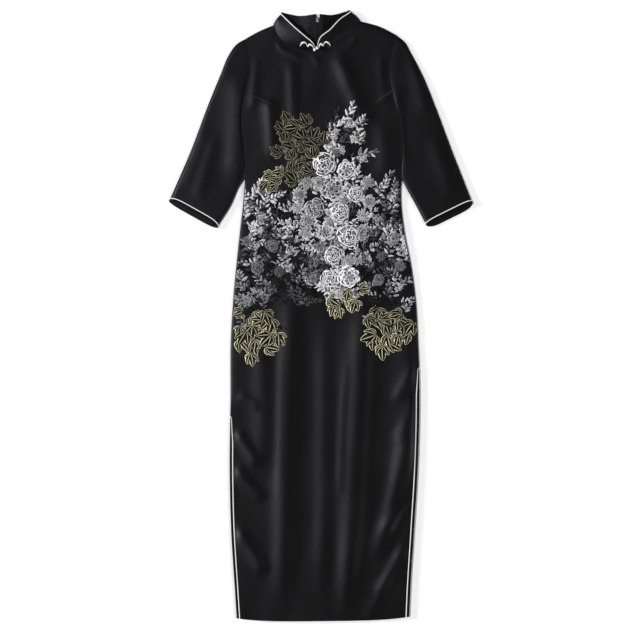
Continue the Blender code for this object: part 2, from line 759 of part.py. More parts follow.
def make_tape(side):
    y = np.concatenate([np.linspace(TAPE_FOOT, LIFT_START - 0.01, 6), np.linspace(0.585, TAPE_TOP, 9)])
    offsets = np.array([BACK_GAP / 2, BACK_GAP / 2 + TAPE_WIDTH / 2, BACK_GAP / 2 + TAPE_WIDTH])
    x = BACK_X + SIGN[side] * (offsets if side == "right" else offsets[::-1])
    x, y = np.meshgrid(x, y)
    add_wall(f"zip_tape_{side}", points_of(x, y, tape_level(x, y)), TAPE_WALL, "zip_tape", flip=True)


def add_cube(name, size, centre):
    mesh = bpy.data.meshes.new(name)
    shape = bmesh.new()
    bmesh.ops.create_cube(shape, size=1)
    bmesh.ops.scale(shape, vec=size, verts=shape.verts)
    bmesh.ops.translate(shape, vec=centre, verts=shape.verts)
    shape.to_mesh(mesh)
    shape.free()
    return mesh


def add_rod(name, radius, length, centre, segments=16):
    """A round bar along X."""
    mesh = bpy.data.meshes.new(name)
    shape = bmesh.new()
    bmesh.ops.create_cone(
        shape, cap_ends=True, segments=segments, radius1=radius, radius2=radius, depth=length
    )
    for point in shape.verts:
        point.co = Vector((point.co.z, point.co.x, point.co.y)) + Vector(centre)
    shape.to_mesh(mesh)
    shape.free()
    return mesh


def add_cutter(mesh):
    obj = bpy.data.objects.new(mesh.name, mesh)
    obj.hide_render = True
    obj.display_type = "WIRE"
    CUTTERS.objects.link(obj)
    return obj


def combine(obj, tools):
    """Boolean each tool with the object, in order. The shapes are under a millimetre thick, where the
    EXACT solver leaves open edges; all of them are closed, so MANIFOLD can take them."""
    for operation, mesh in tools:
        modifier = obj.modifiers.new(mesh.name, "BOOLEAN")
        modifier.operation = operation
        modifier.solver = "MANIFOLD"
        modifier.object = add_cutter(mesh)


def slider_base():
    """Underside of the slider's plate, above the tapes."""
    return float(tape_level(np.array(BACK_X), np.array(SLIDER_Y))) + TAPE_WALL + SEAM


def make_slider():
    """Plate inside the collar, a neck through the gap and an eye under the collar."""
    thick = SLIDER[2]
    base = slider_base()
    plate = add_cube("slider_plate", SLIDER, (BACK_X, SLIDER_Y, base + thick / 2))
    obj = add_object("zip_slider", plate, MATERIALS["zip_metal"])
    eye_y, eye_z = HINGE[1:]
    top = base + thick / 2
    neck = add_cube(
        "slider_neck", (NECK_WALL, 2 * EYE_RADIUS, top - eye_z), (BACK_X, eye_y, (top + eye_z) / 2)
    )
    combine(
        obj,
        (
            ("UNION", neck),
            ("UNION", add_rod("slider_eye", EYE_RADIUS, NECK_WALL, HINGE, 20)),
            ("DIFFERENCE", add_rod("slider_eye_hole", EYE_HOLE, 4 * NECK_WALL, HINGE, 20)),
        ),
    )


def make_pull_tab():
    """A flat tab that hangs from the slider's eye by a pin across its forked end."""
    x, y, z = HINGE
    knuckle = TAB_WALL / 2
    centre = (x, y - TAB_LENGTH / 2 + knuckle / 2, z)
    body = add_cube("zip_pull_tab", (TAB_WIDTH, TAB_LENGTH + knuckle, TAB_WALL), centre)
    obj = add_object("zip_pull_tab", body, MATERIALS["zip_metal"])
    slot = add_cube(
        "tab_slot", (TAB_SLOT, 2 * TAB_SLOT_DEPTH, 4 * TAB_WALL), (x, y, z)
    )
    hole = add_rod("tab_hole", TAB_WIDTH * 0.28, 4 * TAB_WALL, (0, 0, 0))
    for point in hole.vertices:
        point.co = Vector((point.co.y, point.co.z, point.co.x)) + Vector((x, y - 0.8 * TAB_LENGTH, z))
    combine(
        obj,
        (
            ("DIFFERENCE", slot),
            ("UNION", add_rod("tab_pin", PIN_RADIUS, TAB_WIDTH * 0.8, HINGE, 12)),
            ("DIFFERENCE", hole),
        ),
    )


# --- Frog fastening --------------------------------------------------------------------------------
def surface_under(names):
    """A function that gives the highest surface of the named pieces at a point."""
    bpy.context.view_layer.update()
    graph = bpy.context.evaluated_depsgraph_get()
    trees = [BVHTree.FromObject(bpy.data.objects[name], graph) for name in names]

    def height(x, y):
        hits = [tree.ray_cast(Vector((x, y, 1)), Vector((0, 0, -1)))[0] for tree in trees]
        return max((hit.z for hit in hits if hit is not None), default=0.0)

    return height


def highest_near(height, x, y, reach):
    """Highest surface within `reach` of a point."""
    angles = np.linspace(0, 2 * math.pi, 8, endpoint=False)
    near = [(0, 0)] + [(reach * math.cos(a), reach * math.sin(a)) for a in angles]
    return max(height(x + dx, y + dy) for dx, dy in near)


def make_frog_loop(side, height):
    """A closed cord in two lobes, lying on the collar."""
    closed = [point[-2:] for point in FROG_PATH[side]]
    closed = closed[-2:] + closed + closed[:3]
    steps = np.linalg.norm(np.diff(np.array(closed), axis=0), axis=1)
    knots = np.concatenate([[0], np.cumsum(steps)])
    first, last = knots[2], knots[-3]
    plan = hermite(knots, np.array(closed), np.linspace(first, last, FROG_STEPS, endpoint=False))
    curve = bpy.data.curves.new(f"frog_loop_{side}", "CURVE")
    curve.dimensions = "3D"
    curve.bevel_depth = FROG_CORD
    curve.bevel_resolution = 1
    spline = curve.splines.new("POLY")
    spline.points.add(FROG_STEPS - 1)
    spline.use_cyclic_u = True
    for point, (x, y) in zip(spline.points, plan):
        z = highest_near(height, x, y, FROG_CORD * 1.2) + SEAM + FROG_CORD
        point.co = (x, y, z, 1)
    obj = bpy.data.objects.new(f"frog_loop_{side}", curve)
    curve.materials.append(MATERIALS["black_binding"])
    DRESS.objects.link(obj)


def make_frog_knot(height):
    """The ball knot between the loops."""
    mesh = bpy.data.meshes.new("frog_knot")
    shape = bmesh.new()
    bmesh.ops.create_uvsphere(shape, u_segments=12, v_segments=8, radius=0.5)
    bmesh.ops.scale(shape, vec=KNOT_SIZE, verts=shape.verts)
    base = highest_near(height, *KNOT, KNOT_SIZE[0] / 3) + SEAM
    bmesh.ops.translate(shape, vec=(*KNOT, base + KNOT_SIZE[2] / 2), verts=shape.verts)
    shape.to_mesh(mesh)
    shape.free()
    add_object("frog_knot", mesh, MATERIALS["white_piping"])


# --- Dress -----------------------------------------------------------------------------------------
clear_scene()
DRESS = bpy.data.collections.new("cheongsam_dress")
CUTTERS = bpy.data.collections.new("cutters")
for collection in (DRESS, CUTTERS):
    bpy.context.scene.collection.children.link(collection)
MATERIALS = make_materials()

make_front()
for dress_side in SIDES:
    make_back(dress_side)
    make_slit_trim("back", dress_side, TRIM_LIFT)
    make_slit_trim("front", dress_side, SLIT_LEVEL)
    make_sleeve(dress_side)
    make_cuff_trim(dress_side)
    make_collar(dress_side)
    make_tape(dress_side)
make_slider()
make_pull_tab()
UNDER_FROG = ["front_panel"] + [
    f"collar_{dress_side}{part}" for dress_side in SIDES for part in ("", "_piping", "_binding")
]
surface = surface_under(UNDER_FROG)
for dress_side in SIDES:
    make_frog_loop(dress_side, surface)
make_frog_knot(surface)
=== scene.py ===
"""A black satin cheongsam, laid flat with its front up: mandarin collar with piped edge, three-quarter
sleeves, side slits with piped and bound edges, a frog at the neck, a zip at the centre back and a
raised embroidery of flowers and leaves from the waist to the hips.

Metres, +Z up, +Y towards the collar, +X to the right as seen from above; the dress lies on z = 0.
"""

import logging
import math
from dataclasses import dataclass
from enum import Enum
from typing import Callable, NamedTuple, Optional, Sequence, Union

import bpy
import numpy as np
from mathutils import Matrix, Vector
from mathutils.bvhtree import BVHTree


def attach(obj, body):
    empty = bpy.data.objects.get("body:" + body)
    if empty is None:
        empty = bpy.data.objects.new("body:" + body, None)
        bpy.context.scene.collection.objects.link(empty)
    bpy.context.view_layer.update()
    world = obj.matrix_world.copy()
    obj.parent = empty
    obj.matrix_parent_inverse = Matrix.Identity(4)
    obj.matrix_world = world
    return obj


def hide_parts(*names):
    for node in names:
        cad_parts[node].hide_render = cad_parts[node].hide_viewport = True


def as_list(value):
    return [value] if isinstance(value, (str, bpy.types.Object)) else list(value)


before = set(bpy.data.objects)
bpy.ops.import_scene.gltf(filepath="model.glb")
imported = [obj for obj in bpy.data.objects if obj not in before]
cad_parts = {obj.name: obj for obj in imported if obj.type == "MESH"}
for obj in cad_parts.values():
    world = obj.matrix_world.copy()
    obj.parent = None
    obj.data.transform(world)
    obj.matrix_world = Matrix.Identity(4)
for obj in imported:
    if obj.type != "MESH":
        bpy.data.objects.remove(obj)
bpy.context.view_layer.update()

LOG = logging.getLogger("dress")
Number = Union["Value", float]
Array = np.ndarray
Piece = bpy.types.Object
Material = bpy.types.Material
Triple = tuple[float, float, float]

TURN = 2 * math.pi
BODY = "dress"
RIM_ROUNDING = 0.25
RIM_ANGLE = math.radians(50)


class Side(Enum):
    """The side of the dress, as seen from above."""

    LEFT = "left"
    RIGHT = "right"

    @property
    def sign(self) -> float:
        """-1 on the left and 1 on the right."""
        return -1.0 if self is Side.LEFT else 1.0


LEFT, RIGHT = Side


class Slot(Enum):
    """The record's material slots."""

    SATIN = "black_satin"
    PIPING = "white_piping"
    BINDING = "black_binding"
    TAPE = "zip_tape"
    METAL = "zip_metal"
    SILVER = "silver_thread"
    GOLD = "gold_thread"


class Look(NamedTuple):
    """A material and the record's slot that it belongs to."""

    material: Material
    slot: Slot


class Section(NamedTuple):
    """Where the dress's edges lie at one height."""

    name: str
    y: float
    left: float
    right: float


class Point(NamedTuple):
    """A named point of a curve in plan."""

    name: str
    x: float
    y: float


class Level(NamedTuple):
    """Heights of the collar's outer face at a share of its front part."""

    share: float
    lower: float
    upper: float


class Cuff(NamedTuple):
    """How far the upper and the lower edge of a cuff bow out."""

    upper: float
    lower: float


class Fold(NamedTuple):
    """A soft ridge, or a trough if its height is negative, bowed sideways between its two ends."""

    name: str
    x1: float
    y1: float
    x2: float
    y2: float
    bow: float
    width: float
    height: float


# --- Curves and heights ---
FOLD_FADE = 0.25
RIPPLE_LENGTHS = (0.05, 0.16)
RIPPLE_SLANT = 0.4


def smooth(value: Array) -> Array:
    """An S between 0 and 1: 3v^2 - 2v^3 of the value clipped to 0..1."""
    value = np.clip(value, 0, 1)
    return value * value * (3 - 2 * value)


def rounded(distance: Array, width: float) -> Array:
    """A quarter round: sqrt(1 - (1 - d/w)^2), from 0 at a seam to 1 at `width` from it."""
    return np.sqrt(1 - (1 - np.clip(distance / width, 0, 1)) ** 2)


def eased(distance: Array, width: float) -> Array:
    """Soft shoulder: 1 - (1 - t)^2 with t = distance / width held within 0..1."""
    return 1 - (1 - np.clip(distance / width, 0, 1)) ** 2


def hermite(knots: Array, values: Array, at: Array) -> Array:
    """A cubic Hermite curve with finite-difference slopes.

    Args:
        knots: increasing parameters of the given values.
        values: one value or point for each knot.
        at: parameters to read the curve at.

    Returns:
        The curve's value or point at each parameter.
    """
    slopes = np.gradient(values, knots, axis=0)
    index = np.clip(np.searchsorted(knots, at, side="right") - 1, 0, len(knots) - 2)
    span = knots[index + 1] - knots[index]
    t = (at - knots[index]) / span
    if values.ndim > 1:
        t, span = t[:, None], span[:, None]
    before, after = values[index], values[index + 1]
    return (
        (2 * t**3 - 3 * t**2 + 1) * before
        + (t**3 - 2 * t**2 + t) * span * slopes[index]
        + (3 * t**2 - 2 * t**3) * after
        + (t**3 - t**2) * span * slopes[index + 1]
    )


def along(points: Sequence, shares: Array) -> Array:
    """A smooth curve through points, read at shares of its length.

    Args:
        points: named points, or rows of coordinates.
        shares: shares of the length, 0 to 1.

    Returns:
        One point for each share.
    """
    rows = np.array([p[-2:] if isinstance(p, Point) else p for p in points], float)
    steps = np.linalg.norm(np.diff(rows, axis=0), axis=1)
    knots = np.concatenate([[0], np.cumsum(steps)]) / steps.sum()
    return hermite(knots, rows, np.asarray(shares, float))


def beside(points: Array, distance: float) -> Array:
    """A row of points moved sideways, to the left of its own direction: p + d * (-ty, tx)."""
    tangents = np.gradient(points, axis=0)
    tangents /= np.linalg.norm(tangents, axis=1)[:, None]
    return points + distance * np.stack([-tangents[:, 1], tangents[:, 0]], axis=1)


def points_of(x: Array, y: Array, z: Array) -> Array:
    """Coordinates stacked into points."""
    return np.stack(np.broadcast_arrays(x, y, z), axis=-1)


def folds_at(x: Array, y: Array, folds: Sequence[Fold], most: float) -> Array:
    """Height of the folds at each point.

    Each fold is height * exp(-(off / width)^2), off being the distance from its bowed axis, fading
    over a quarter of its length at each end. The sum is held within `most` by a tanh.

    Args:
        x, y: plan of the points.
        folds: the ridges and troughs.
        most: largest height of the sum.

    Returns:
        The height that the folds add.
    """
    total = np.zeros_like(x)
    for fold in folds:
        run = np.array([fold.x2 - fold.x1, fold.y2 - fold.y1])
        length = np.linalg.norm(run)
        run /= length
        t = ((x - fold.x1) * run[0] + (y - fold.y1) * run[1]) / length
        off = -(x - fold.x1) * run[1] + (y - fold.y1) * run[0]
        off = off - fold.bow * 4 * np.clip(t, 0, 1) * (1 - np.clip(t, 0, 1))
        ends = smooth(t / FOLD_FADE) * smooth((1 - t) / FOLD_FADE)
        total += fold.height * np.exp(-((off / fold.width) ** 2)) * ends
    return most * np.tanh(total / most)


def ripples_at(x: Array, y: Array, waves: int, seed: int) -> Array:
    """Uneven softness of laid cloth: a sum of sines of random direction, 50 to 160 mm long across the
    dress and drawn out along it, scaled to lie within -1..1.

    Args:
        x, y: plan of the points.
        waves: number of sines.
        seed: seed of the random draws.

    Returns:
        The sum at each point.
    """
    rng = np.random.default_rng(seed)
    total = np.zeros_like(x)
    for _ in range(waves):
        angle, phase = rng.uniform(0, TURN, 2)
        length = rng.uniform(*RIPPLE_LENGTHS)
        run = x * math.cos(angle) + y * math.sin(angle) * RIPPLE_SLANT
        total += np.sin(TURN * run / length + phase)
    return total / waves


# --- The dress's draft ---
def both(*rows: tuple) -> dict[Side, tuple[Point, ...]]:
    """Curves of the two sides, from rows of a name, a point on the left and one on the right."""
    return {side: tuple(Point(row[0], *row[1 + n]) for row in rows) for n, side in enumerate(Side)}


BODY_SECTIONS = (
    Section("hem", -0.6500, -0.1808, 0.1895),
    Section("ankle", -0.5935, -0.1845, 0.1920),
    Section("calf", -0.4560, -0.1930, 0.2005),
    Section("below knee", -0.3185, -0.1960, 0.2085),
    Section("knee", -0.1810, -0.1943, 0.2118),
    Section("thigh", -0.0520, -0.1937, 0.2092),
    Section("hip", 0.0300, -0.1890, 0.2045),
    Section("high hip", 0.1075, -0.1820, 0.1945),
    Section("below waist", 0.1825, -0.1740, 0.1800),
    Section("waist", 0.2555, -0.1660, 0.1727),
    Section("underarm", 0.2950, -0.1633, 0.1736),
    Section("armhole low", 0.3655, -0.1680, 0.1760),
    Section("armhole middle", 0.4150, -0.1732, 0.1730),
    Section("armhole inset", 0.4660, -0.1688, 0.1575),
    Section("armhole narrow", 0.5300, -0.1530, 0.1482),
    Section("shoulder", 0.6000, -0.1612, 0.1630),
)
BACK_X = -0.0072
SLIT_TOP = {LEFT: -0.2150, RIGHT: -0.1100}
HEM = {LEFT: -0.6499, RIGHT: -0.6465}
HEM_SHARES = np.array([0.0, 0.04, 0.12, 0.3, 0.5, 0.75])
CENTRE_GAP = 0.00005
ABOVE_ALL = 0.7
NECK = ("neck", (-0.1000, 0.6255), (0.0825, 0.6340))
SHOULDER = both(
    ("tip", (-0.1610, 0.5960), (0.1635, 0.6025)),
    ("middle", (-0.1340, 0.6110), (0.1290, 0.6205)),
    NECK,
)
FRONT_NECK = both(
    NECK,
    ("side", (-0.0970, 0.6110), (0.0795, 0.6230)),
    ("turn", (-0.0860, 0.5950), (0.0690, 0.6110)),
    ("lower", (-0.0560, 0.5785), (0.0345, 0.5875)),
    ("centre", (-0.0083, 0.5675), (-0.0083, 0.5675)),
)
BACK_NECK = both(
    NECK,
    ("side", (-0.0700, 0.6135), (0.0540, 0.6165)),
    ("centre", (BACK_X, 0.6070), (BACK_X, 0.6070)),
)
COLLAR_BACK_TOP = both(
    ("fold", (-0.0814, 0.6513), (0.0584, 0.6556)),
    ("middle", (-0.0440, 0.6450), (0.0218, 0.6470)),
    ("centre", (-0.0100, 0.6490), (-0.0024, 0.6490)),
)
COLLAR_FRONT_TOP = both(
    ("fold", (-0.0800, 0.6503), (0.0572, 0.6546)),
    ("upper", (-0.0554, 0.6261), (0.0378, 0.6415)),
    ("middle", (-0.0294, 0.6034), (0.0160, 0.6185)),
    ("turn", (-0.0170, 0.5925), (-0.0050, 0.6010)),
    ("centre", (-0.0116, 0.5810), (-0.0104, 0.5810)),
)
COLLAR_FRONT_LEVELS = (
    Level(0.00, 0.0050, 0.0066),
    Level(0.30, 0.0047, 0.0100),
    Level(0.60, 0.0043, 0.0112),
    Level(0.85, 0.0042, 0.0088),
    Level(1.00, 0.0042, 0.0070),
)
SLEEVE_OUTER = both(
    ("cap", (-0.1803, 0.5846), (0.1809, 0.5878)),
    ("cap side", (-0.1953, 0.5652), (0.1938, 0.5652)),
    ("upper arm", (-0.2168, 0.5158), (0.2196, 0.5158)),
    ("middle", (-0.2448, 0.4470), (0.2476, 0.4470)),
    ("elbow", (-0.2770, 0.3610), (0.2798, 0.3610)),
    ("cuff", (-0.3270, 0.2468), (0.3270, 0.2424)),
)
SLEEVE_INNER = both(
    ("below underarm", (-0.1760, 0.2750), (0.1835, 0.2755)),
    ("middle", (-0.1920, 0.2390), (0.2040, 0.2380)),
    ("cuff", (-0.2232, 0.1888), (0.2275, 0.1930)),
)
CUFFS = {LEFT: Cuff(-0.0065, 0.0040), RIGHT: Cuff(-0.0034, 0.0080)}

FRONT_FOLDS = (
    Fold("skirt left", -0.060, 0.120, -0.084, -0.680, -0.002, 0.022, 0.0038),
    Fold("skirt left flank", -0.084, -0.020, -0.090, -0.420, 0.000, 0.009, 0.0005),
    Fold("skirt middle", 0.006, 0.060, 0.000, -0.680, 0.003, 0.018, 0.0018),
    Fold("skirt broad", 0.074, 0.060, 0.046, -0.560, 0.000, 0.048, 0.0022),
    Fold("skirt right", 0.092, 0.080, 0.048, -0.690, 0.006, 0.021, 0.0051),
    Fold("skirt right flank", 0.058, -0.060, 0.040, -0.420, -0.003, 0.008, 0.0009),
    Fold("knee sweep", 0.192, -0.205, 0.112, -0.540, 0.010, 0.018, 0.0033),
    Fold("calf nick", 0.192, -0.390, 0.130, -0.470, 0.000, 0.011, 0.0023),
    Fold("ankle sweep", 0.186, -0.480, 0.112, -0.610, 0.004, 0.013, 0.0025),
    Fold("hem sweep", 0.156, -0.550, 0.090, -0.660, 0.002, 0.011, 0.0012),
    Fold("thigh left", -0.132, 0.020, -0.128, -0.360, 0.006, 0.021, 0.0018),
    Fold("slit pull upper", -0.186, -0.240, -0.130, -0.330, 0.000, 0.011, 0.0026),
    Fold("slit pull lower", -0.188, -0.320, -0.118, -0.400, -0.003, 0.012, 0.0029),
    Fold("slit pull foot", -0.186, -0.450, -0.116, -0.560, 0.002, 0.013, 0.0035),
    Fold("hip nick", -0.182, -0.080, -0.110, -0.098, 0.003, 0.008, 0.0014),
    Fold("knee nick left", -0.184, -0.170, -0.130, -0.200, 0.003, 0.009, 0.0018),
    Fold("right nick upper", 0.206, -0.100, 0.154, -0.190, 0.002, 0.012, 0.0017),
    Fold("right nick lower", 0.208, -0.170, 0.160, -0.280, 0.002, 0.013, 0.0015),
    Fold("hip right", 0.194, 0.020, 0.178, -0.400, 0.000, 0.032, 0.0024),
    Fold("bust right", 0.027, 0.574, 0.094, 0.405, 0.006, 0.018, 0.0029),
    Fold("bust left", -0.062, 0.556, -0.058, 0.405, 0.000, 0.013, 0.0018),
    Fold("side left", -0.116, 0.480, -0.104, 0.325, 0.004, 0.014, 0.0021),
    Fold("side right", 0.130, 0.430, 0.140, 0.290, 0.002, 0.018, 0.0014),
    Fold("frog pull", -0.018, 0.568, -0.002, 0.534, 0.000, 0.006, 0.0006),
    Fold("neck roll left", -0.100, 0.592, -0.034, 0.556, -0.008, 0.008, 0.0010),
    Fold("neck roll right", 0.082, 0.606, 0.020, 0.564, 0.008, 0.008, 0.0008),
    Fold("dart pucker left", -0.158, 0.472, -0.092, 0.446, -0.003, 0.006, 0.0008),
    Fold("dart pucker right", 0.152, 0.482, 0.108, 0.448, 0.003, 0.006, 0.0008),
    Fold("arm crease left", -0.146, 0.570, -0.150, 0.430, 0.004, 0.010, 0.0011),
    Fold("arm crease right", 0.132, 0.575, 0.146, 0.430, -0.004, 0.010, 0.0011),
)
SLEEVE_FOLDS = {
    LEFT: (
        Fold("upper arm", -0.176, 0.540, -0.184, 0.270, 0.004, 0.026, 0.0034),
        Fold("elbow", -0.222, 0.400, -0.270, 0.240, 0.000, 0.016, 0.0010),
        Fold("outer", -0.246, 0.420, -0.300, 0.260, 0.003, 0.012, 0.0006),
    ),
    RIGHT: (
        Fold("crease", 0.166, 0.510, 0.186, 0.300, -0.008, 0.011, 0.0014),
        Fold("cap", 0.196, 0.560, 0.226, 0.420, 0.004, 0.018, 0.0012),
        Fold("elbow", 0.238, 0.400, 0.288, 0.240, 0.000, 0.018, 0.0012),
    ),
}


@dataclass(frozen=True)
class Draft:
    """The dress's plan: edges, rows and levels that several pieces share."""

    cloth: float = 0.0012
    seam: float = 0.0003
    trim_gap: float = 0.0001
    panel_gap: float = 0.0002
    binding: float = 0.0054
    cord: float = 0.0020
    seam_level: float = 0.0015
    slit_level: float = 0.0026
    bed: float = 0.0027
    roll: float = 0.010
    armhole_roll: float = 0.016
    armhole_climb: float = 0.03
    edge_calm: float = 0.020
    most_fold: float = 0.0068
    ripple: float = 0.0009
    ripple_waves: int = 14
    ripple_seed: int = 5
    slit_notch: float = 0.004
    slit_taper: float = 0.060
    slit_trim_start: float = 0.35
    hem_drop: float = 0.0077
    skirt_base: float = -0.6200
    waist: float = 0.2555
    underarm: float = 0.2950
    yoke_share: float = 0.80
    armhole_rows: int = 60
    edge_power: int = 8
    seam_samples: int = 30
    neck_samples: int = 40
    skirt_step: float = 0.0055
    lift: float = 0.0026
    lift_reach: float = 0.045
    lift_flat: float = 0.12
    lift_start: float = 0.582
    lift_full: float = 0.612

    def outline_x(self, side: Side, y: Array) -> Array:
        """Where the dress's edge lies at height y: a Hermite curve through the sections."""
        knots = np.array([section.y for section in BODY_SECTIONS])
        values = np.array([getattr(section, side.value) for section in BODY_SECTIONS])
        return hermite(knots, values, np.asarray(y, float))

    def skirt_levels(self) -> Array:
        """Heights of the rows from the hem to the underarm, with a pair at the top of each slit."""
        left, right = SLIT_TOP.values()
        spans = (
            (self.skirt_base, left - self.slit_notch),
            (left, right - self.slit_notch),
            (right, self.underarm),
        )
        rows = [np.linspace(a, b, max(2, round((b - a) / self.skirt_step))) for a, b in spans]
        return np.concatenate([*rows[:2], rows[2][:-1]])

    def row_levels(self, side: Side) -> Array:
        """Height of every row at one side: hem, skirt and armhole."""
        hem = HEM[side]
        climb = SHOULDER[side][0].y - self.underarm
        return np.concatenate(
            [
                hem + (self.skirt_base - hem) * HEM_SHARES,
                self.skirt_levels(),
                self.underarm + climb * np.linspace(0, 1, self.armhole_rows + 1),
            ]
        )

    @property
    def first_armhole_row(self) -> int:
        """Row at the underarm."""
        return len(HEM_SHARES) + len(self.skirt_levels())

    @property
    def yoke_row(self) -> int:
        """Row where the rows begin to follow the neckline."""
        return self.first_armhole_row + round(self.yoke_share * self.armhole_rows)

    def trim_share(self, side: Side, y: Array) -> Array:
        """Width of the slit's trim at height y as a share of its full width, 0 above the slit."""
        below = SLIT_TOP[side] - y
        start = self.slit_trim_start
        share = np.clip(start + (1 - start) * below / self.slit_taper, start, 1)
        return np.where(below > self.slit_notch / 2, share, 0)

    def side_edge(self, side: Side, inset: float = 0.0, spare: float = 0.0) -> Array:
        """One side of a panel, a point for each row.

        Args:
            side: the side of the dress.
            inset: how far the edge moves in where the trim has its full width.
            spare: how far it moves in besides, all along the trim.

        Returns:
            The edge's points, from the hem to the shoulder tip.
        """
        y = self.row_levels(side)
        share = self.trim_share(side, y)
        x = self.outline_x(side, y) - side.sign * np.where(share > 0, inset * share + spare, 0)
        x[-1] = SHOULDER[side][0].x
        return np.stack([x, y], axis=1)

    def panel_edge(self, side: Side) -> Array:
        """One side of a panel, which stays in from the trim of the slit."""
        return self.side_edge(side, self.binding + self.cord, self.panel_gap)

    def centre_back_edge(self, side: Side) -> Array:
        """The sewn edge at the centre back, a point for each row."""
        left, right = (self.side_edge(each) for each in Side)
        share = (BACK_X - left[:, 0]) / (right[:, 0] - left[:, 0])
        y = left[:, 1] + share * (right[:, 1] - left[:, 1])
        return np.stack([np.full_like(y, BACK_X + side.sign * CENTRE_GAP), y], axis=1)

    def drop_rows(self, x: Array, y: Array) -> Array:
        """Heights with the hem's curve, each of the lowest rows lower by hem_drop * (1 - v^4) * (1 - s):
        v runs across the hem from -1 to 1 and s is the row's share of the way up."""
        left, right = (self.outline_x(side, HEM[LEFT]) for side in Side)
        across = np.clip((2 * x - left - right) / (right - left), -1, 1)
        lowered = y.copy()
        count = len(HEM_SHARES)
        lowered[:count] -= self.hem_drop * (1 - across[:count] ** 4) * (1 - HEM_SHARES[:, None])
        return lowered

    def panel_points(
        self, left: Array, right: Array, top: Array, hem_shares: Array
    ) -> tuple[Array, Array]:
        """Plan of a panel.

        Columns stand at shares of the width at the hem and run to the points of the top; rows are level
        up to the yoke and then bend towards the shoulder and neck.

        Args:
            left, right: the panel's side edges, a point for each row.
            top: the points of the shoulder and neck, one for each column.
            hem_shares: shares of the width for the columns at the hem.

        Returns:
            x and y of each point, rows by columns.
        """
        yoke = self.yoke_row
        top_shares = (top[:, 0] - left[-1, 0]) / (right[-1, 0] - left[-1, 0])
        blend = smooth((left[:, 1] - self.waist) / (left[yoke, 1] - self.waist))[:, None]
        shares = hem_shares + (top_shares - hem_shares) * blend
        x = left[:, :1] + (right[:, :1] - left[:, :1]) * shares
        y = left[:, 1:] + (right[:, 1:] - left[:, 1:]) * shares
        climb = (left[yoke:, 1:] - left[yoke, 1]) / (left[-1, 1] - left[yoke, 1])
        y[yoke:] = y[yoke] + (top[:, 1] - y[yoke]) * climb
        x[yoke:] = x[yoke] + (top[:, 0] - x[yoke]) * climb
        power = self.edge_power
        for edge, nearness in ((left, (1 - top_shares) ** power), (right, top_shares**power)):
            straight = edge[yoke, 0] + (edge[-1, 0] - edge[yoke, 0]) * climb
            x[yoke:] += (edge[yoke:, :1] - straight) * nearness
        return x, self.drop_rows(x, y)

    def side_level(self, side: Side, y: Array) -> Array:
        """Level of the front's underside at its side edge, from slit to seam to armhole."""
        climb = smooth((SLIT_TOP[side] - y) / self.slit_taper + 1)
        slit = self.seam_level + (self.slit_level - self.seam_level) * climb
        return slit + (self.bed - slit) * smooth((y - self.underarm) / self.armhole_climb + 1)

    def shoulder_y(self, x: Array) -> Array:
        """Height of the shoulder seam above each x, and far above between the two neck points."""
        shares = np.linspace(0, 1, self.seam_samples)
        lines = [along(SHOULDER[side], shares) for side in Side]
        left = np.interp(x, *lines[0].T)
        right = np.interp(x, *lines[1][::-1].T)
        return np.where(x < lines[0][-1, 0], left, np.where(x > lines[1][-1, 0], right, ABOVE_ALL))

    def neck_y(self, x: Array) -> Array:
        """Height of the front neckline at each x, and far above beside it."""
        shares = np.linspace(0, 1, self.neck_samples), np.linspace(1, 0, self.neck_samples)
        curve = np.concatenate([along(FRONT_NECK[side], each) for side, each in zip(Side, shares)])
        order = np.argsort(curve[:, 0])
        return np.interp(x, *curve[order].T, left=ABOVE_ALL, right=ABOVE_ALL)

    def front_level(self, x: Array, y: Array) -> Array:
        """Underside of the front panel: a bed that rounds down to its seams, with folds and ripples that
        die out towards every edge."""
        level = np.full_like(x, self.bed)
        calm = np.ones_like(x)
        for side in Side:
            distance = side.sign * (self.outline_x(side, y) - x)
            low = self.side_level(side, y)
            sewn = smooth((y - self.underarm) / self.edge_calm)
            profile = rounded(distance, self.roll)
            profile = profile + (eased(distance, self.armhole_roll) - profile) * sewn
            level = np.minimum(level, low + (self.bed - low) * profile)
            calm *= smooth(distance / self.edge_calm)
        below = self.shoulder_y(x) - y
        drop = self.seam_level + (self.bed - self.seam_level) * rounded(below, self.roll)
        level = np.minimum(level, drop)
        calm *= smooth(np.minimum(below, self.neck_y(x) - y) / self.edge_calm)
        soft = self.ripple * ripples_at(x, y, self.ripple_waves, self.ripple_seed)
        return level + calm * (folds_at(x, y, FRONT_FOLDS, self.most_fold) + soft)

    def front_top(self, x: Array, y: Array) -> Array:
        """Outer face of the front panel."""
        return self.front_level(x, y) + self.cloth

    def lift_at(self, x: Array, y: Array) -> Array:
        """How far the pull tab holds the neck of the back off the surface."""
        across = smooth(1 - np.abs(x - BACK_X) / self.lift_reach + self.lift_flat)
        up = smooth((y - self.lift_start) / (self.lift_full - self.lift_start))
        return self.lift * across * up


DRAFT = Draft()


# --- Meshes ---
CAP_SHRINK = (0.05, 0.6)
CAP_STEP = 0.02


def grid_faces(rows: int, columns: int, ring: bool = False, flip: bool = False) -> Array:
    """Quads of a grid of points.

    Args:
        rows, columns: the grid's size.
        ring: whether the last column joins the first.
        flip: whether the faces turn the other way.

    Returns:
        Four point numbers for each face.
    """
    index = np.arange(rows * columns).reshape(rows, columns)
    if ring:
        index = np.hstack([index, index[:, :1]])
    quads = np.stack([index[:-1, :-1], index[:-1, 1:], index[1:, 1:], index[1:, :-1]], axis=-1)
    quads = quads.reshape(-1, 4)
    return quads[:, ::-1] if flip else quads


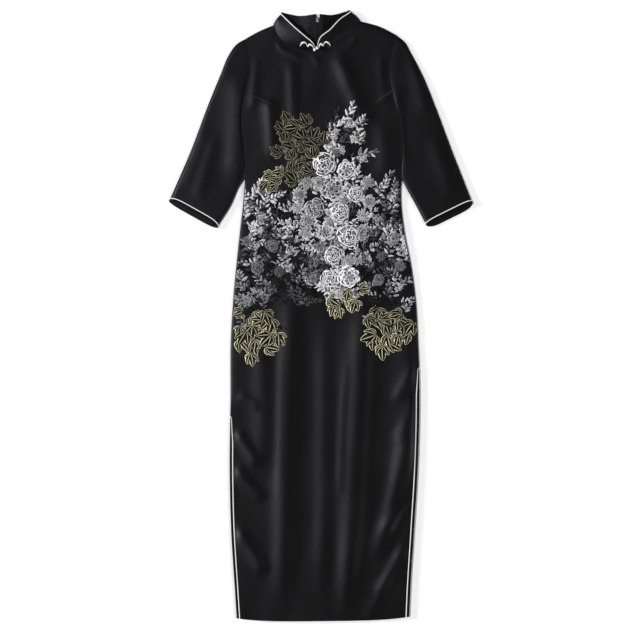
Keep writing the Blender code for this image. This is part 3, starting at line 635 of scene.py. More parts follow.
def add_mesh(name: str, points: Array, faces: Sequence[Array]) -> Piece:
    """A mesh object in the scene.

    Args:
        name: the piece's name.
        points: coordinates, one row for each point.
        faces: arrays of point numbers, each with one row for each face of its number of sides.

    Returns:
        The new object, smooth shaded, at the origin.
    """
    mesh = bpy.data.meshes.new(name)
    sides = np.concatenate([np.full(len(part), part.shape[1]) for part in faces])
    corners = np.concatenate([part.ravel() for part in faces])
    mesh.vertices.add(len(points))
    mesh.vertices.foreach_set("co", np.ascontiguousarray(points, np.float32).ravel())
    mesh.loops.add(len(corners))
    mesh.loops.foreach_set("vertex_index", np.ascontiguousarray(corners, np.int32))
    mesh.polygons.add(len(sides))
    starts = np.cumsum(sides) - sides
    mesh.polygons.foreach_set("loop_start", np.ascontiguousarray(starts, np.int32))
    mesh.update(calc_edges=True)
    mesh.validate()
    mesh.shade_smooth()
    obj = bpy.data.objects.new(name, mesh)
    bpy.context.scene.collection.objects.link(obj)
    return obj


def add_sheet(
    name: str,
    grid: Array,
    wall: float = 0,
    ring: bool = False,
    flip: bool = False,
    capped: Sequence[int] = (),
) -> Piece:
    """A cloth wall from the grid of its outer face, with its rims a little rounded.

    Args:
        name: the piece's name.
        grid: rows by columns by 3.
        wall: thickness, laid inside the face; 0 leaves the bare face.
        ring: whether the columns run round a tube.
        flip: whether the faces turn the other way.
        capped: the end rows, 0 or -1, that one face closes.

    Returns:
        The new object.
    """
    rows, columns = grid.shape[:2]
    index = np.arange(rows * columns).reshape(rows, columns)
    caps = [index[row][None, :: 1 if (row == -1) != flip else -1] for row in capped]
    obj = add_mesh(name, grid.reshape(-1, 3), [grid_faces(rows, columns, ring, flip), *caps])
    if wall:
        solidify = obj.modifiers.new("wall", "SOLIDIFY")
        solidify.thickness = wall
        solidify.offset = -1
        solidify.use_even_offset = True
        bevel = obj.modifiers.new("rounding", "BEVEL")
        bevel.width = wall * RIM_ROUNDING
        bevel.segments = 2
        bevel.limit_method = "ANGLE"
        bevel.angle_limit = RIM_ANGLE
        bevel.harden_normals = True
    return obj


def above_floor(grid: Array) -> Array:
    """The grid with no point below the floor, on which the dress lies."""
    return np.stack([grid[..., 0], grid[..., 1], np.maximum(grid[..., 2], 0.0)], axis=-1)


def crowned(grid: Array, profile: Array, flip: bool) -> Array:
    """A band raised along its own normals.

    Args:
        grid: rows by columns by 3.
        profile: height for each row.
        flip: whether the band's faces turn the other way.

    Returns:
        The raised grid: p + n * profile, n being the cross product of the grid's two directions.
    """
    normal = np.cross(np.gradient(grid, axis=1), np.gradient(grid, axis=0))
    normal /= np.maximum(np.linalg.norm(normal, axis=-1, keepdims=True), 1e-12)
    return grid + (-normal if flip else normal) * profile[:, None, None]


def tube(path: Array, radius: Array, sides: int, closed: bool) -> Array:
    """Rings round a path.

    Each ring is p + r * (cos a * side + sin a * up), side being square to the path in plan and up the
    cross product of the path and the side.

    Args:
        path: points of the centre line.
        radius: radius at each point.
        sides: points in each ring.
        closed: whether the path runs round to its start.

    Returns:
        Rings by sides by 3.
    """
    if closed:
        tangent = np.roll(path, -1, axis=0) - np.roll(path, 1, axis=0)
    else:
        tangent = np.gradient(path, axis=0)
    tangent /= np.linalg.norm(tangent, axis=1)[:, None]
    aside = np.cross(np.array([0, 0, 1.0]), tangent)
    aside /= np.maximum(np.linalg.norm(aside, axis=1)[:, None], 1e-9)
    up = np.cross(tangent, aside)
    angle = np.linspace(0, TURN, sides, endpoint=False)[None, :, None]
    ring = np.cos(angle) * aside[:, None] + np.sin(angle) * up[:, None]
    return path[:, None] + np.reshape(radius, (-1, 1, 1)) * ring


def capped_tube(name: str, path: Array, radius: Array, sides: int) -> Piece:
    """A cord with two ends, each of which shrinks over two short steps to a small closed cap."""
    shrink = np.concatenate([CAP_SHRINK, np.ones(len(path)), CAP_SHRINK[::-1]])
    path = np.pad(path, ((2, 2), (0, 0)), "edge")
    first, last = (path[3] - path[2]) * CAP_STEP, (path[-3] - path[-4]) * CAP_STEP
    path[:2] -= np.array([[2], [1]]) * first
    path[-2:] += np.array([[1], [2]]) * last
    rings = tube(path, np.pad(radius, 2, "edge") * shrink, sides, closed=False)
    return add_sheet(name, rings, ring=True, capped=(0, -1))


def globe(rings: int, sides: int) -> tuple[Array, Array]:
    """Angles of a globe's rings, as a column without its poles, and of the sides round it, as a row."""
    rise = np.linspace(-math.pi / 2, math.pi / 2, rings)[1:-1, None]
    return rise, np.linspace(0, TURN, sides, endpoint=False)[None, :]


def put_colours(obj: Piece, name: str, colours: Array) -> None:
    """Stores four numbers for each point as a colour attribute."""
    layer = obj.data.color_attributes.new(name, "FLOAT_COLOR", "POINT")
    layer.data.foreach_set("color", np.ascontiguousarray(colours, np.float32).ravel())


def put_uv(obj: Piece, uv: Array) -> None:
    """Stores a UV map from one pair of numbers for each point."""
    layer = obj.data.uv_layers.new(name="stitch")
    corners = np.empty(len(obj.data.loops), np.int32)
    obj.data.loops.foreach_get("vertex_index", corners)
    layer.data.foreach_set("uv", np.ascontiguousarray(uv[corners], np.float32).ravel())


def finish_piece(obj: Piece, look: Look, *nodes: str) -> Piece:
    """Gives a piece its material and its body, and hides the CAD nodes that it stands for.

    Args:
        obj: the piece.
        look: its material and slot.
        nodes: CAD nodes that it replaces.

    Returns:
        The piece.
    """
    obj.data.materials.clear()
    obj.data.materials.append(look.material)
    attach(obj, BODY)
    if nodes:
        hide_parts(*nodes)
    LOG.info("%s: %d points", obj.name, len(obj.data.vertices))
    return obj


# --- Shader values ---
def operator(operation: str, swapped: bool = False) -> Callable:
    """A method that adds a Math node, its two values swapped for a reflected operator."""

    def method(self: "Value", *others: Number) -> "Value":
        """Adds the node."""
        values = (self, *others)
        return self.shader.math(operation, *(values[::-1] if swapped else values))

    return method


class Value:
    """A socket that carries a number; Python's operators on it add Math nodes."""

    def __init__(self, shader: "Shader", socket: bpy.types.NodeSocket) -> None:
        """Wraps a socket of a shader's node."""
        self.shader = shader
        self.socket = socket

    __add__ = __radd__ = operator("ADD")
    __sub__ = operator("SUBTRACT")
    __rsub__ = operator("SUBTRACT", swapped=True)
    __mul__ = __rmul__ = operator("MULTIPLY")
    __truediv__ = operator("DIVIDE")
    __abs__ = operator("ABSOLUTE")


class Shader:
    """A material's node tree, with one method that makes nodes."""

    def __init__(self, name: str) -> None:
        """Makes the material and keeps its Principled node."""
        self.material = bpy.data.materials.new(name)
        self.material.use_nodes = True
        self.tree = self.material.node_tree
        self.principled = self.tree.nodes["Principled BSDF"]

    def node(
        self,
        kind: str,
        settings: Optional[dict] = None,
        inputs: Optional[dict] = None,
        output: Union[int, str] = 0,
    ) -> Value:
        """Makes a node.

        Args:
            kind: the node's type.
            settings: properties, set first.
            inputs: values or links by socket name or number.
            output: which output to return.

        Returns:
            The chosen output.
        """
        made = self.tree.nodes.new(kind)
        for key, value in (settings or {}).items():
            setattr(made, key, value)
        for key, value in (inputs or {}).items():
            self.feed(made.inputs[key], value)
        return Value(self, made.outputs[output])

    def feed(self, socket: bpy.types.NodeSocket, value: Union[Value, float, tuple]) -> None:
        """Links a value to a socket, or sets the socket to a number or colour."""
        if isinstance(value, Value):
            self.tree.links.new(value.socket, socket)
        elif isinstance(value, tuple) and len(value) == 3 and socket.type == "RGBA":
            socket.default_value = (*value, 1)
        else:
            socket.default_value = value

    def set(self, **values: Union[Value, float, tuple]) -> None:
        """Feeds the Principled node's sockets; an underscore in a name stands for a space."""
        for name, value in values.items():
            self.feed(self.principled.inputs[name.replace("_", " ")], value)

    def math(self, operation: str, *values: Number) -> Value:
        """A Math node."""
        return self.node("ShaderNodeMath", {"operation": operation}, dict(enumerate(values)))

    def place(self) -> Value:
        """The point in the dress's own frame."""
        return self.node("ShaderNodeTexCoord", output="Object")

    def parts(self, kind: str, whole: Value) -> list[Value]:
        """The three outputs of a node that takes a vector or a colour apart."""
        made = self.node(kind, None, {0: whole})
        return [Value(self, output) for output in made.socket.node.outputs[:3]]

    def split(self, vector: Value) -> list[Value]:
        """The three parts of a vector."""
        return self.parts("ShaderNodeSeparateXYZ", vector)

    def noise(self, place: Value, scale: float, detail: float = 2.0) -> Value:
        """Noise between 0 and 1, `scale` blobs a metre."""
        inputs = {"Vector": place, "Scale": scale, "Detail": detail}
        return self.node("ShaderNodeTexNoise", None, inputs)

    def streaks(self, place: Value, scale: Triple) -> Value:
        """Noise with its own number of blobs a metre along x, y and z."""
        return self.noise(self.node("ShaderNodeMapping", None, {"Vector": place, "Scale": scale}), 1.0)

    def ease(self, value: Value, low: float, high: float) -> Value:
        """A smooth step from 0 at `low` to 1 at `high`."""
        inputs = {"Value": value, "From Min": low, "From Max": high}
        return self.node("ShaderNodeMapRange", {"interpolation_type": "SMOOTHSTEP"}, inputs)

    def mix(self, share: Number, first: Union[Value, Triple], second: Union[Value, Triple]) -> Value:
        """A mixture of two colours."""
        return self.node("ShaderNodeMix", {"data_type": "RGBA"}, {0: share, 6: first, 7: second}, 2)

    def bump(self, height: Value, depth: float) -> None:
        """Feeds the normal with a relief of this depth in metres."""
        self.set(Normal=self.node("ShaderNodeBump", None, {"Height": height, "Distance": depth}))


# --- Finishes ---
@dataclass(frozen=True)
class Satin:
    """Black satin: a fine slanting weave with a soft bluish gloss."""

    name: str = "satin"
    slot: Slot = Slot.SATIN
    dark: Triple = (0.0007, 0.0007, 0.0008)
    light: Triple = (0.0022, 0.0022, 0.0025)
    rough: float = 0.36
    gloss: float = 0.265
    tint: Triple = (0.94, 0.95, 1.0)
    clouds: float = 9.0
    streaks: Triple = (160.0, 9.0, 1.0)
    thread: float = 0.0005
    picks: float = 0.7
    relief: float = 0.00002

    def look(self) -> Look:
        """Builds the material."""
        shader = Shader(self.name)
        place = shader.place()
        x, y, _ = shader.split(place)
        cloud = shader.noise(place, self.clouds, 3.0)
        streak = shader.streaks(place, self.streaks)
        rate = TURN / self.thread
        floats = shader.math("SINE", (x + y * 0.5) * rate)
        picks = shader.math("SINE", (y - x * 0.2) * (rate * self.picks))
        shader.set(
            Base_Color=shader.mix(cloud * 0.7 + streak * 0.3, self.dark, self.light),
            Roughness=self.rough + (cloud - 0.5) * 0.08 + (streak - 0.5) * 0.05,
            Specular_IOR_Level=self.gloss,
            Specular_Tint=self.tint,
        )
        shader.bump(floats * 0.6 + picks * 0.4, self.relief)
        return Look(shader.material, self.slot)


@dataclass(frozen=True)
class Cord:
    """A smooth trim: piping, binding or rouleau, with the twist of its thread."""

    name: str
    slot: Slot
    dark: Triple
    light: Triple
    rough: float
    gloss: float = 0.5
    pitch: float = 0.0014
    fuzz: float = 700.0
    clouds: float = 60.0
    relief: float = 0.00005

    def look(self) -> Look:
        """Builds the material."""
        shader = Shader(self.name)
        place = shader.place()
        x, y, z = shader.split(place)
        wobble = shader.noise(place, self.fuzz)
        twist = shader.math("SINE", (x + y + z) * (TURN / self.pitch) + wobble * 2.5)
        cloud = shader.noise(place, self.clouds)
        shader.set(
            Base_Color=shader.mix(twist * 0.18 + cloud * 0.6 + 0.2, self.dark, self.light),
            Roughness=self.rough + (cloud - 0.5) * 0.12,
            Specular_IOR_Level=self.gloss,
        )
        shader.bump(twist * 0.5 + wobble * 0.5, self.relief)
        return Look(shader.material, self.slot)


@dataclass(frozen=True)
class Tape:
    """The zip's woven tape."""

    name: str = "tape"
    slot: Slot = Slot.TAPE
    dark: Triple = (0.003, 0.003, 0.003)
    light: Triple = (0.012, 0.011, 0.010)
    rib: float = 0.0007
    warp: float = 0.0005
    rough: float = 0.75
    gloss: float = 0.2
    relief: float = 0.00006

    def look(self) -> Look:
        """Builds the material."""
        shader = Shader(self.name)
        x, y, _ = shader.split(shader.place())
        rib = shader.math("SINE", y * (TURN / self.rib))
        warp = shader.math("SINE", x * (TURN / self.warp))
        weave = rib * 0.5 + warp * 0.3 + 0.5
        shader.set(
            Base_Color=shader.mix(weave, self.dark, self.light),
            Specular_IOR_Level=self.gloss,
            Roughness=self.rough + weave * 0.1,
        )
        shader.bump(weave, self.relief)
        return Look(shader.material, self.slot)


@dataclass(frozen=True)
class Metal:
    """Plated zip metal, brushed and slightly worn."""

    name: str = "zip_plate"
    slot: Slot = Slot.METAL
    dark: Triple = (0.20, 0.20, 0.21)
    light: Triple = (0.42, 0.42, 0.44)
    brush: Triple = (9000.0, 700.0, 2000.0)
    wear: float = 900.0
    rough: float = 0.28
    relief: float = 0.00001

    def look(self) -> Look:
        """Builds the material."""
        shader = Shader(self.name)
        place = shader.place()
        brush = shader.streaks(place, self.brush)
        worn = shader.noise(place, self.wear, 3.0)
        shader.set(
            Base_Color=shader.mix(worn, self.dark, self.light),
            Metallic=1.0,
            Roughness=self.rough + brush * 0.18,
        )
        shader.bump(brush, self.relief)
        return Look(shader.material, self.slot)


@dataclass(frozen=True)
class Thread:
    """Embroidery thread. Each blade's own numbers say how light its fill, its outline and its vein are
    and where the outline starts, and the stitch map runs along it (u) and across it (v)."""

    name: str
    slot: Slot
    fill: Triple
    outline: Triple
    ground: Triple = (0.0018, 0.0018, 0.0022)
    vein: float = 0.10
    tip: float = 0.6
    fade: float = 0.3
    stitches: float = 22.0
    slant: float = 5.0
    rough: float = 0.45
    gloss: float = 0.08
    relief: float = 0.00012

    def look(self) -> Look:
        """Builds the material."""
        shader = Shader(self.name)
        u, v, _ = shader.split(shader.node("ShaderNodeUVMap", {"uv_map": "stitch"}))
        tones = shader.node("ShaderNodeVertexColor", {"layer_name": "tone"})
        start = Value(shader, tones.socket.node.outputs["Alpha"])
        fill, edge, vein = shader.parts("ShaderNodeSeparateColor", tones)
        across = abs(v * 2 - 1)
        room = 1 - start
        rim = shader.ease((across - start) / room, 0.0, self.fade)
        tip = shader.ease(1 - (1 - u) / (room * self.tip), 0.0, self.fade)
        rib = (1 - shader.ease(across, self.vein * 0.5, self.vein * 1.5)) * vein
        run = shader.math("SINE", (u * self.stitches + across * self.slant) * TURN)
        ply = run * 0.5 + 0.5
        # painted shade: the fill darkens towards both sides of each blade, so the blade looks rounded
        rounding_shade = 1 - across * across * 0.6
        inside = shader.mix(fill * (ply * 0.4 + 0.7) * rounding_shade, self.ground, self.fill)
        line = shader.mix(edge * (ply * 0.2 + 0.85), self.ground, self.outline)
        marks = shader.math("MAXIMUM", shader.math("MAXIMUM", rim, tip), rib)
        shader.set(
            Base_Color=shader.mix(marks, inside, line),
            Roughness=self.rough + ply * 0.12,
            Specular_IOR_Level=self.gloss,
        )
        shader.bump(ply + marks * 0.8, self.relief)
        return Look(shader.material, self.slot)


@dataclass(frozen=True)
class Finishes:
    """Every material with its slot, made once."""

    satin: Look
    # satin lighter than the dress's own: a painted highlight along the darts
    seam: Look
    piping: Look
    binding: Look
    rouleau: Look
    tape: Look
    metal: Look
    silver: Look
    gold: Look

    @classmethod
    def make(cls) -> "Finishes":
        """Builds all the materials."""
        # painted highlight: the darts' satin is several times lighter than the dress's own, so each dart
        # seam shows as a light line
        seam = (0.008, 0.008, 0.009), (0.014, 0.014, 0.015)
        white = (0.68, 0.68, 0.66), (0.86, 0.86, 0.84)
        black = (0.001, 0.001, 0.001), (0.004, 0.004, 0.004)
        silver = (0.72, 0.72, 0.78), (0.92, 0.92, 0.94)
        gold = (0.16, 0.14, 0.07), (0.98, 0.92, 0.62)
        return cls(
            satin=Satin().look(),
            seam=Satin("satin_seam_painted_highlight", Slot.SATIN, *seam).look(),
            piping=Cord("white_cord", Slot.PIPING, *white, rough=0.6).look(),
            binding=Cord("black_edge", Slot.BINDING, *black, rough=0.5, gloss=0.10).look(),
            rouleau=Cord("black_cord", Slot.BINDING, *black, rough=0.36, gloss=0.16).look(),
            tape=Tape().look(),
            metal=Metal().look(),
            silver=Thread("silver_stitch", Slot.SILVER, *silver).look(),
            gold=Thread("gold_stitch", Slot.GOLD, *gold, tip=0.3).look(),
        )


# --- Front and back ---
@dataclass(frozen=True)
class Panels:
    """The front, in one piece, and the two halves of the back."""

    shoulder_columns: int = 13
    neck_columns: int = 30
    back_shoulder_columns: int = 8
    back_neck_columns: int = 16
    side_shares: tuple[float, ...] = (0, 0.003, 0.008, 0.016, 0.028, 0.042)
    middle_start: float = 0.058

    def front_top(self) -> Array:
        """Shoulder, neckline and shoulder, from left to right."""
        even = np.linspace(0, 1, self.shoulder_columns)
        shoulder = smooth(even) * 0.5 + even * 0.5
        neck = np.linspace(0, 1, self.neck_columns + 1)
        return np.concatenate(
            [
                along(SHOULDER[LEFT], shoulder),
                along(FRONT_NECK[LEFT], neck)[1:],
                along(FRONT_NECK[RIGHT], neck)[::-1][1:],
                along(SHOULDER[RIGHT], shoulder)[::-1][1:],
            ]
        )

    def back_top(self, side: Side) -> Array:
        """Shoulder and half of the back neckline, from left to right."""
        shoulder = np.linspace(0, 1, self.back_shoulder_columns + 1)
        neck = np.linspace(0, 1, self.back_neck_columns + 1)
        points = np.concatenate([along(SHOULDER[side], shoulder), along(BACK_NECK[side], neck)[1:]])
        points[-1, 0] += side.sign * CENTRE_GAP
        return points if side is LEFT else points[::-1]

    def hem_columns(self, count: int) -> Array:
        """Shares of the width for the columns at the hem, closer together near the sides."""
        near = np.array(self.side_shares)
        start = self.middle_start
        middle = np.linspace(start, 1 - start, count - 2 * len(near))
        return np.concatenate([near, middle, 1 - near[::-1]])

    def front(self, finish: Finishes) -> Piece:
        """Builds the front panel."""
        top = self.front_top()
        left, right = (DRAFT.panel_edge(side) for side in Side)
        x, y = DRAFT.panel_points(left, right, top, self.hem_columns(len(top)))
        obj = add_sheet("front_cloth", points_of(x, y, DRAFT.front_top(x, y)), DRAFT.cloth)
        return finish_piece(obj, finish.satin, "front_panel")

    def back(self, side: Side, finish: Finishes) -> Piece:
        """Builds one half of the back, whose outer face lies downwards."""
        top = self.back_top(side)
        edges = DRAFT.panel_edge(side), DRAFT.centre_back_edge(side)
        left, right = edges if side is LEFT else edges[::-1]
        x, y = DRAFT.panel_points(left, right, top, np.linspace(0, 1, len(top)))
        grid = points_of(x, y, DRAFT.lift_at(x, y))
        obj = add_sheet(f"back_cloth_{side.value}", grid, DRAFT.cloth, flip=True)
        return finish_piece(obj, finish.satin, f"back_panel_{side.value}")

    def build(self, finish: Finishes) -> dict[str, Piece]:
        """Builds the three panels and returns them by name."""
        return {
            "front": self.front(finish),
            "back_left": self.back(LEFT, finish),
            "back_right": self.back(RIGHT, finish),
        }


# --- Slit trims ---
BAND_GAP = DRAFT.seam * 0.3


class Band(NamedTuple):
    """A strip of trim across an edge, from outer to inner distance, with its crown."""

    name: str
    outer: float
    inner: float
    crown: float

    def distances(self, across: Array) -> Array:
        """Distances from the edge at shares of the strip's width."""
        return self.outer + (self.inner - self.outer) * across

    def bulge(self, across: Array) -> Array:
        """Height at shares of its width: crown * sqrt(1 - v^2), v running from -1 to 1."""
        return self.crown * np.sqrt(np.maximum(0, 1 - (2 * across - 1) ** 2))


EDGE_BANDS = (
    Band("binding", 0.0, DRAFT.binding, 0.0005),
    Band("piping", DRAFT.binding + BAND_GAP, DRAFT.binding + DRAFT.cord + BAND_GAP, 0.0009),
)


def add_strip(
    owner: str, band: Band, finish: Finishes, grid: Array, wall: float, ring: bool, flip: bool
) -> Piece:
    """A strip of binding or piping, which stands for the CAD node of its own name.

    Args:
        owner: what the strip edges, with which its name begins.
        band: which strip.
        finish: the materials.
        grid, wall, ring, flip: as for add_sheet.

    Returns:
        The strip.
    """
    name = f"{owner}_{band.name}"
    obj = add_sheet(f"{name}_strip", grid, wall, ring, flip)
    return finish_piece(obj, getattr(finish, band.name), name)


@dataclass(frozen=True)
class SlitTrim:
    """White piping and black binding down each slit edge of the front and the back."""

    columns: int = 7
    wall: float = 0.0014
    back_sag: float = 0.1

    def strip(self, layer: str, side: Side, band: Band, finish: Finishes) -> Piece:
        """Builds one strip.

        Args:
            layer: front or back.
            side: the side of the dress.
            band: which strip.
            finish: the materials.

        Returns:
            The strip, crowned upwards on the front and a little downwards on the back.
        """
        rows = DRAFT.row_levels(side) < SLIT_TOP[side] - DRAFT.slit_notch / 2
        across = np.linspace(0, 1, self.columns)
        edges = [DRAFT.side_edge(side, inset)[rows] for inset in band.distances(across)]
        plan = np.stack(edges if side is LEFT else edges[::-1], axis=1)
        x = plan[..., 0]
        y = DRAFT.drop_rows(x, plan[..., 1])
        front = layer == "front"
        base = DRAFT.slit_level + self.wall if front else DRAFT.trim_gap
        z = base + band.bulge(across) * (1 if front else -self.back_sag)
        grid = points_of(x, y, z)
        return add_strip(f"{layer}_{side.value}", band, finish, grid, self.wall, False, not front)

    def build(self, finish: Finishes) -> dict[str, list[Piece]]:
        """Builds every strip, listed by the panel that it edges."""
        made: dict[str, list[Piece]] = {}
        for layer in ("front", "back"):
            for side in Side:
                key = "front" if layer == "front" else f"back_{side.value}"
                strips = [self.strip(layer, side, band, finish) for band in EDGE_BANDS]
                made.setdefault(key, []).extend(strips)
        return made


# --- Sleeves ---
def coons(start: Array, end: Array, first: Array, last: Array) -> Array:
    """A Coons patch: the two ruled surfaces between opposite curves, less the one between the corners.

    Args:
        start, end: curves that run across.
        first, last: curves that run along.

    Returns:
        Rows by columns by 2.
    """
    across = np.linspace(0, 1, len(first))[:, None, None]
    ends = np.linalg.norm(start - start[0], axis=1) / np.linalg.norm(start[-1] - start[0])
    share = ends[None, :, None]
    ruled = start * (1 - across) + end * across
    sides = first[:, None] * (1 - share) + last[:, None] * share
    corners = (
        start[0] * (1 - share) * (1 - across)
        + start[-1] * share * (1 - across)
        + end[0] * (1 - share) * across
        + end[-1] * share * across
    )
    return ruled + sides - corners


@dataclass(frozen=True)
class Sleeve:
    """One three-quarter sleeve, a flattened tube, with the piping and binding of its cuff."""

    side: Side
    steps: int = 64
    columns: int = 44
    even_share: float = 0.35
    armhole_height: float = 0.0039
    cuff_height: float = 0.0058
    upper_half: float = 0.4
    wall: float = 0.0009
    fold_reach: float = 0.009
    lower_reach: float = 0.6
    fold_calm: float = 0.02
    ripple: float = 0.5
    ripple_waves: int = 12
    ripple_seed: int = 9
    corner_step: float = 0.0012
    armhole_gap: float = 0.0001
    cuff_gap: float = 0.0002
    bluntness: int = 6
    strip_rows: int = 7
    facing: float = 0.022
    facing_edge: float = 0.0006
    facing_rows: int = 10
    facing_width: float = 0.985
    facing_lift: float = 1.1
    facing_wall: float = 0.0004
    seam_reach: float = 0.42
    seam_drop: float = 0.0003

    @property
    def flip(self) -> bool:
        """Whether the tube's faces turn the other way."""
        return self.side is LEFT

    def cuff_corners(self) -> list[Array]:
        """The cuff's outer and inner corner."""
        return [np.array(edge[self.side][-1][-2:]) for edge in (SLEEVE_OUTER, SLEEVE_INNER)]

    def cuff_direction(self) -> Array:
        """Unit vector out of the cuff, square to the line between its corners."""
        outer, inner = self.cuff_corners()
        run = (inner - outer) / np.linalg.norm(inner - outer)
        out = np.array([-run[1], run[0]])
        return out if out[1] < 0 else -out

    def cuff_edge(self, shares: Array, bow: float) -> Array:
        """Edge of one layer of the cuff, bowed by bow * (1 - (2s - 1)^6), so its corners are blunt."""
        outer, inner = self.cuff_corners()
        shares = shares[:, None]
        bowed = self.cuff_direction() * bow * (1 - (2 * shares - 1) ** self.bluntness)
        return outer + (inner - outer) * shares + bowed

    def cuff_layers(self, distances: Array) -> list[Array]:
        """Plans of the upper and the lower layer, a row for each distance back from the cuff's edge."""
        shares, out = self.column_shares(), self.cuff_direction()
        return [
            np.stack([self.cuff_edge(shares, bow) - out * distance for distance in distances])
            for bow in CUFFS[self.side]
        ]

    def column_shares(self) -> Array:
        """Shares across the tube from the outer fold to the inner one, closer near both folds."""
        even = np.linspace(0, 1, self.columns)
        return self.even_share * even + (1 - self.even_share) * (1 - np.cos(math.pi * even)) / 2

    def layer(self, bow: float, inset: float) -> Array:
        """Plan of one layer of the sleeve.

        Args:
            bow: how far the cuff's edge bows out.
            inset: how far the edge stays back from the cuff.

        Returns:
            Rows from the armhole to the cuff, columns from the outer fold to the inner one.
        """
        edge = DRAFT.side_edge(self.side)[DRAFT.first_armhole_row :][::-1]
        shares = self.column_shares()
        armhole = hermite(np.linspace(0, 1, len(edge)), edge, shares)
        armhole = beside(armhole, self.side.sign * self.armhole_gap)
        for end, curve in ((0, SLEEVE_OUTER), (-1, SLEEVE_INNER)):
            step = np.array(curve[self.side][0][-2:]) - armhole[end]
            armhole[end] += step / np.linalg.norm(step) * self.corner_step
        cuff = self.cuff_edge(shares, bow) - self.cuff_direction() * inset
        steps = np.linspace(0, 1, self.steps + 1)
        outer = along([armhole[0], *(p[-2:] for p in SLEEVE_OUTER[self.side][:-1]), cuff[0]], steps)
        inner = along([armhole[-1], *(p[-2:] for p in SLEEVE_INNER[self.side][:-1]), cuff[-1]], steps)
        return coons(armhole, cuff, outer, inner)

    def ring(self, top: Array, bottom: Array, height: Array, base: float) -> Array:
        """Rings round the flattened tube.

        Near each fold the upper layer falls and the lower one rises along a quarter round, so that they
        meet at half the height.

        Args:
            top, bottom: plans of the two layers.
            height: height of the tube at each row.
            base: level of the lower layer.

        Returns:
            Rows by twice the columns, less the two that both layers share.
        """
        width = np.linalg.norm(top[:, -1] - top[:, 0], axis=1)[:, None]
        share = self.column_shares()[None, :]
        reach = np.minimum(share, 1 - share) * width
        lift = folds_at(top[..., 0], top[..., 1], SLEEVE_FOLDS[self.side], DRAFT.most_fold)
        soft = ripples_at(top[..., 0], top[..., 1], self.ripple_waves, self.ripple_seed)
        lift = (lift + DRAFT.ripple * self.ripple * soft) * smooth(reach / self.fold_calm)
        bend = rounded(reach, self.fold_reach)
        upper_z = base + height * (0.5 + 0.5 * bend) + lift
        lower_z = base + height * 0.5 * (1 - rounded(reach, self.fold_reach * self.lower_reach))
        upper = points_of(top[..., 0], top[..., 1], upper_z)
        lower = points_of(bottom[..., 0], bottom[..., 1], lower_z)
        return np.concatenate([upper, lower[:, -2:0:-1]], axis=1)

    def tube(self, finish: Finishes) -> Piece:
        """Builds the sleeve itself, a little lower along the seam of its armhole."""
        inset = DRAFT.binding + DRAFT.cord + self.cuff_gap
        top, bottom = (self.layer(bow, inset) for bow in CUFFS[self.side])
        height = np.linspace(self.armhole_height, self.cuff_height, len(top))[:, None]
        seam = eased(np.linspace(0, self.seam_reach, len(top)), DRAFT.armhole_roll)[:, None]
        grid = self.ring(top, bottom, height, 0.0)
        drop = (1 - seam) * self.seam_drop
        grid[..., 2] -= drop * (grid[..., 2] > self.armhole_height * self.upper_half)
        obj = add_sheet(f"sleeve_cloth_{self.side.value}", grid, self.wall, ring=True, flip=self.flip)
        return finish_piece(obj, finish.satin, f"sleeve_{self.side.value}")

    def cuff_strip(self, band: Band, finish: Finishes) -> Piece:
        """Builds piping or binding round the cuff."""
        across = np.linspace(0, 1, self.strip_rows)
        layers = self.cuff_layers(band.inner + (band.outer - band.inner) * across)
        grid = self.ring(*layers, np.full((len(across), 1), self.cuff_height), DRAFT.trim_gap)
        up = grid[..., 2] > self.cuff_height * self.upper_half
        grid[..., 2] += band.bulge(across)[:, None] * up
        return add_strip(f"cuff_{self.side.value}", band, finish, grid, self.wall, True, self.flip)

    def cuff_facing(self, finish: Finishes) -> Piece:
        """Builds the facing inside the cuff: the same tube, smaller by the wall, from inside the sleeve
        to just short of the edge."""
        layers = self.cuff_layers(
            self.facing + (self.facing_edge - self.facing) * np.linspace(0, 1, self.facing_rows)
        )
        middle = [(layer[:, :1] + layer[:, -1:]) / 2 for layer in layers]
        layers = [mid + (layer - mid) * self.facing_width for layer, mid in zip(layers, middle)]
        inner = self.facing_lift * self.wall
        height = np.full((self.facing_rows, 1), self.cuff_height - 2 * inner)
        grid = self.ring(*layers, height, inner)
        name = f"cuff_facing_{self.side.value}"
        obj = add_sheet(name, grid, self.facing_wall, ring=True, flip=self.flip)
        return finish_piece(obj, finish.satin)

    def build(self, finish: Finishes) -> tuple[Piece, list[Piece]]:
        """Builds the sleeve, its facing and the strips of its cuff."""
        strips = [self.cuff_strip(band, finish) for band in EDGE_BANDS]
        return self.tube(finish), [*strips, self.cuff_facing(finish)]


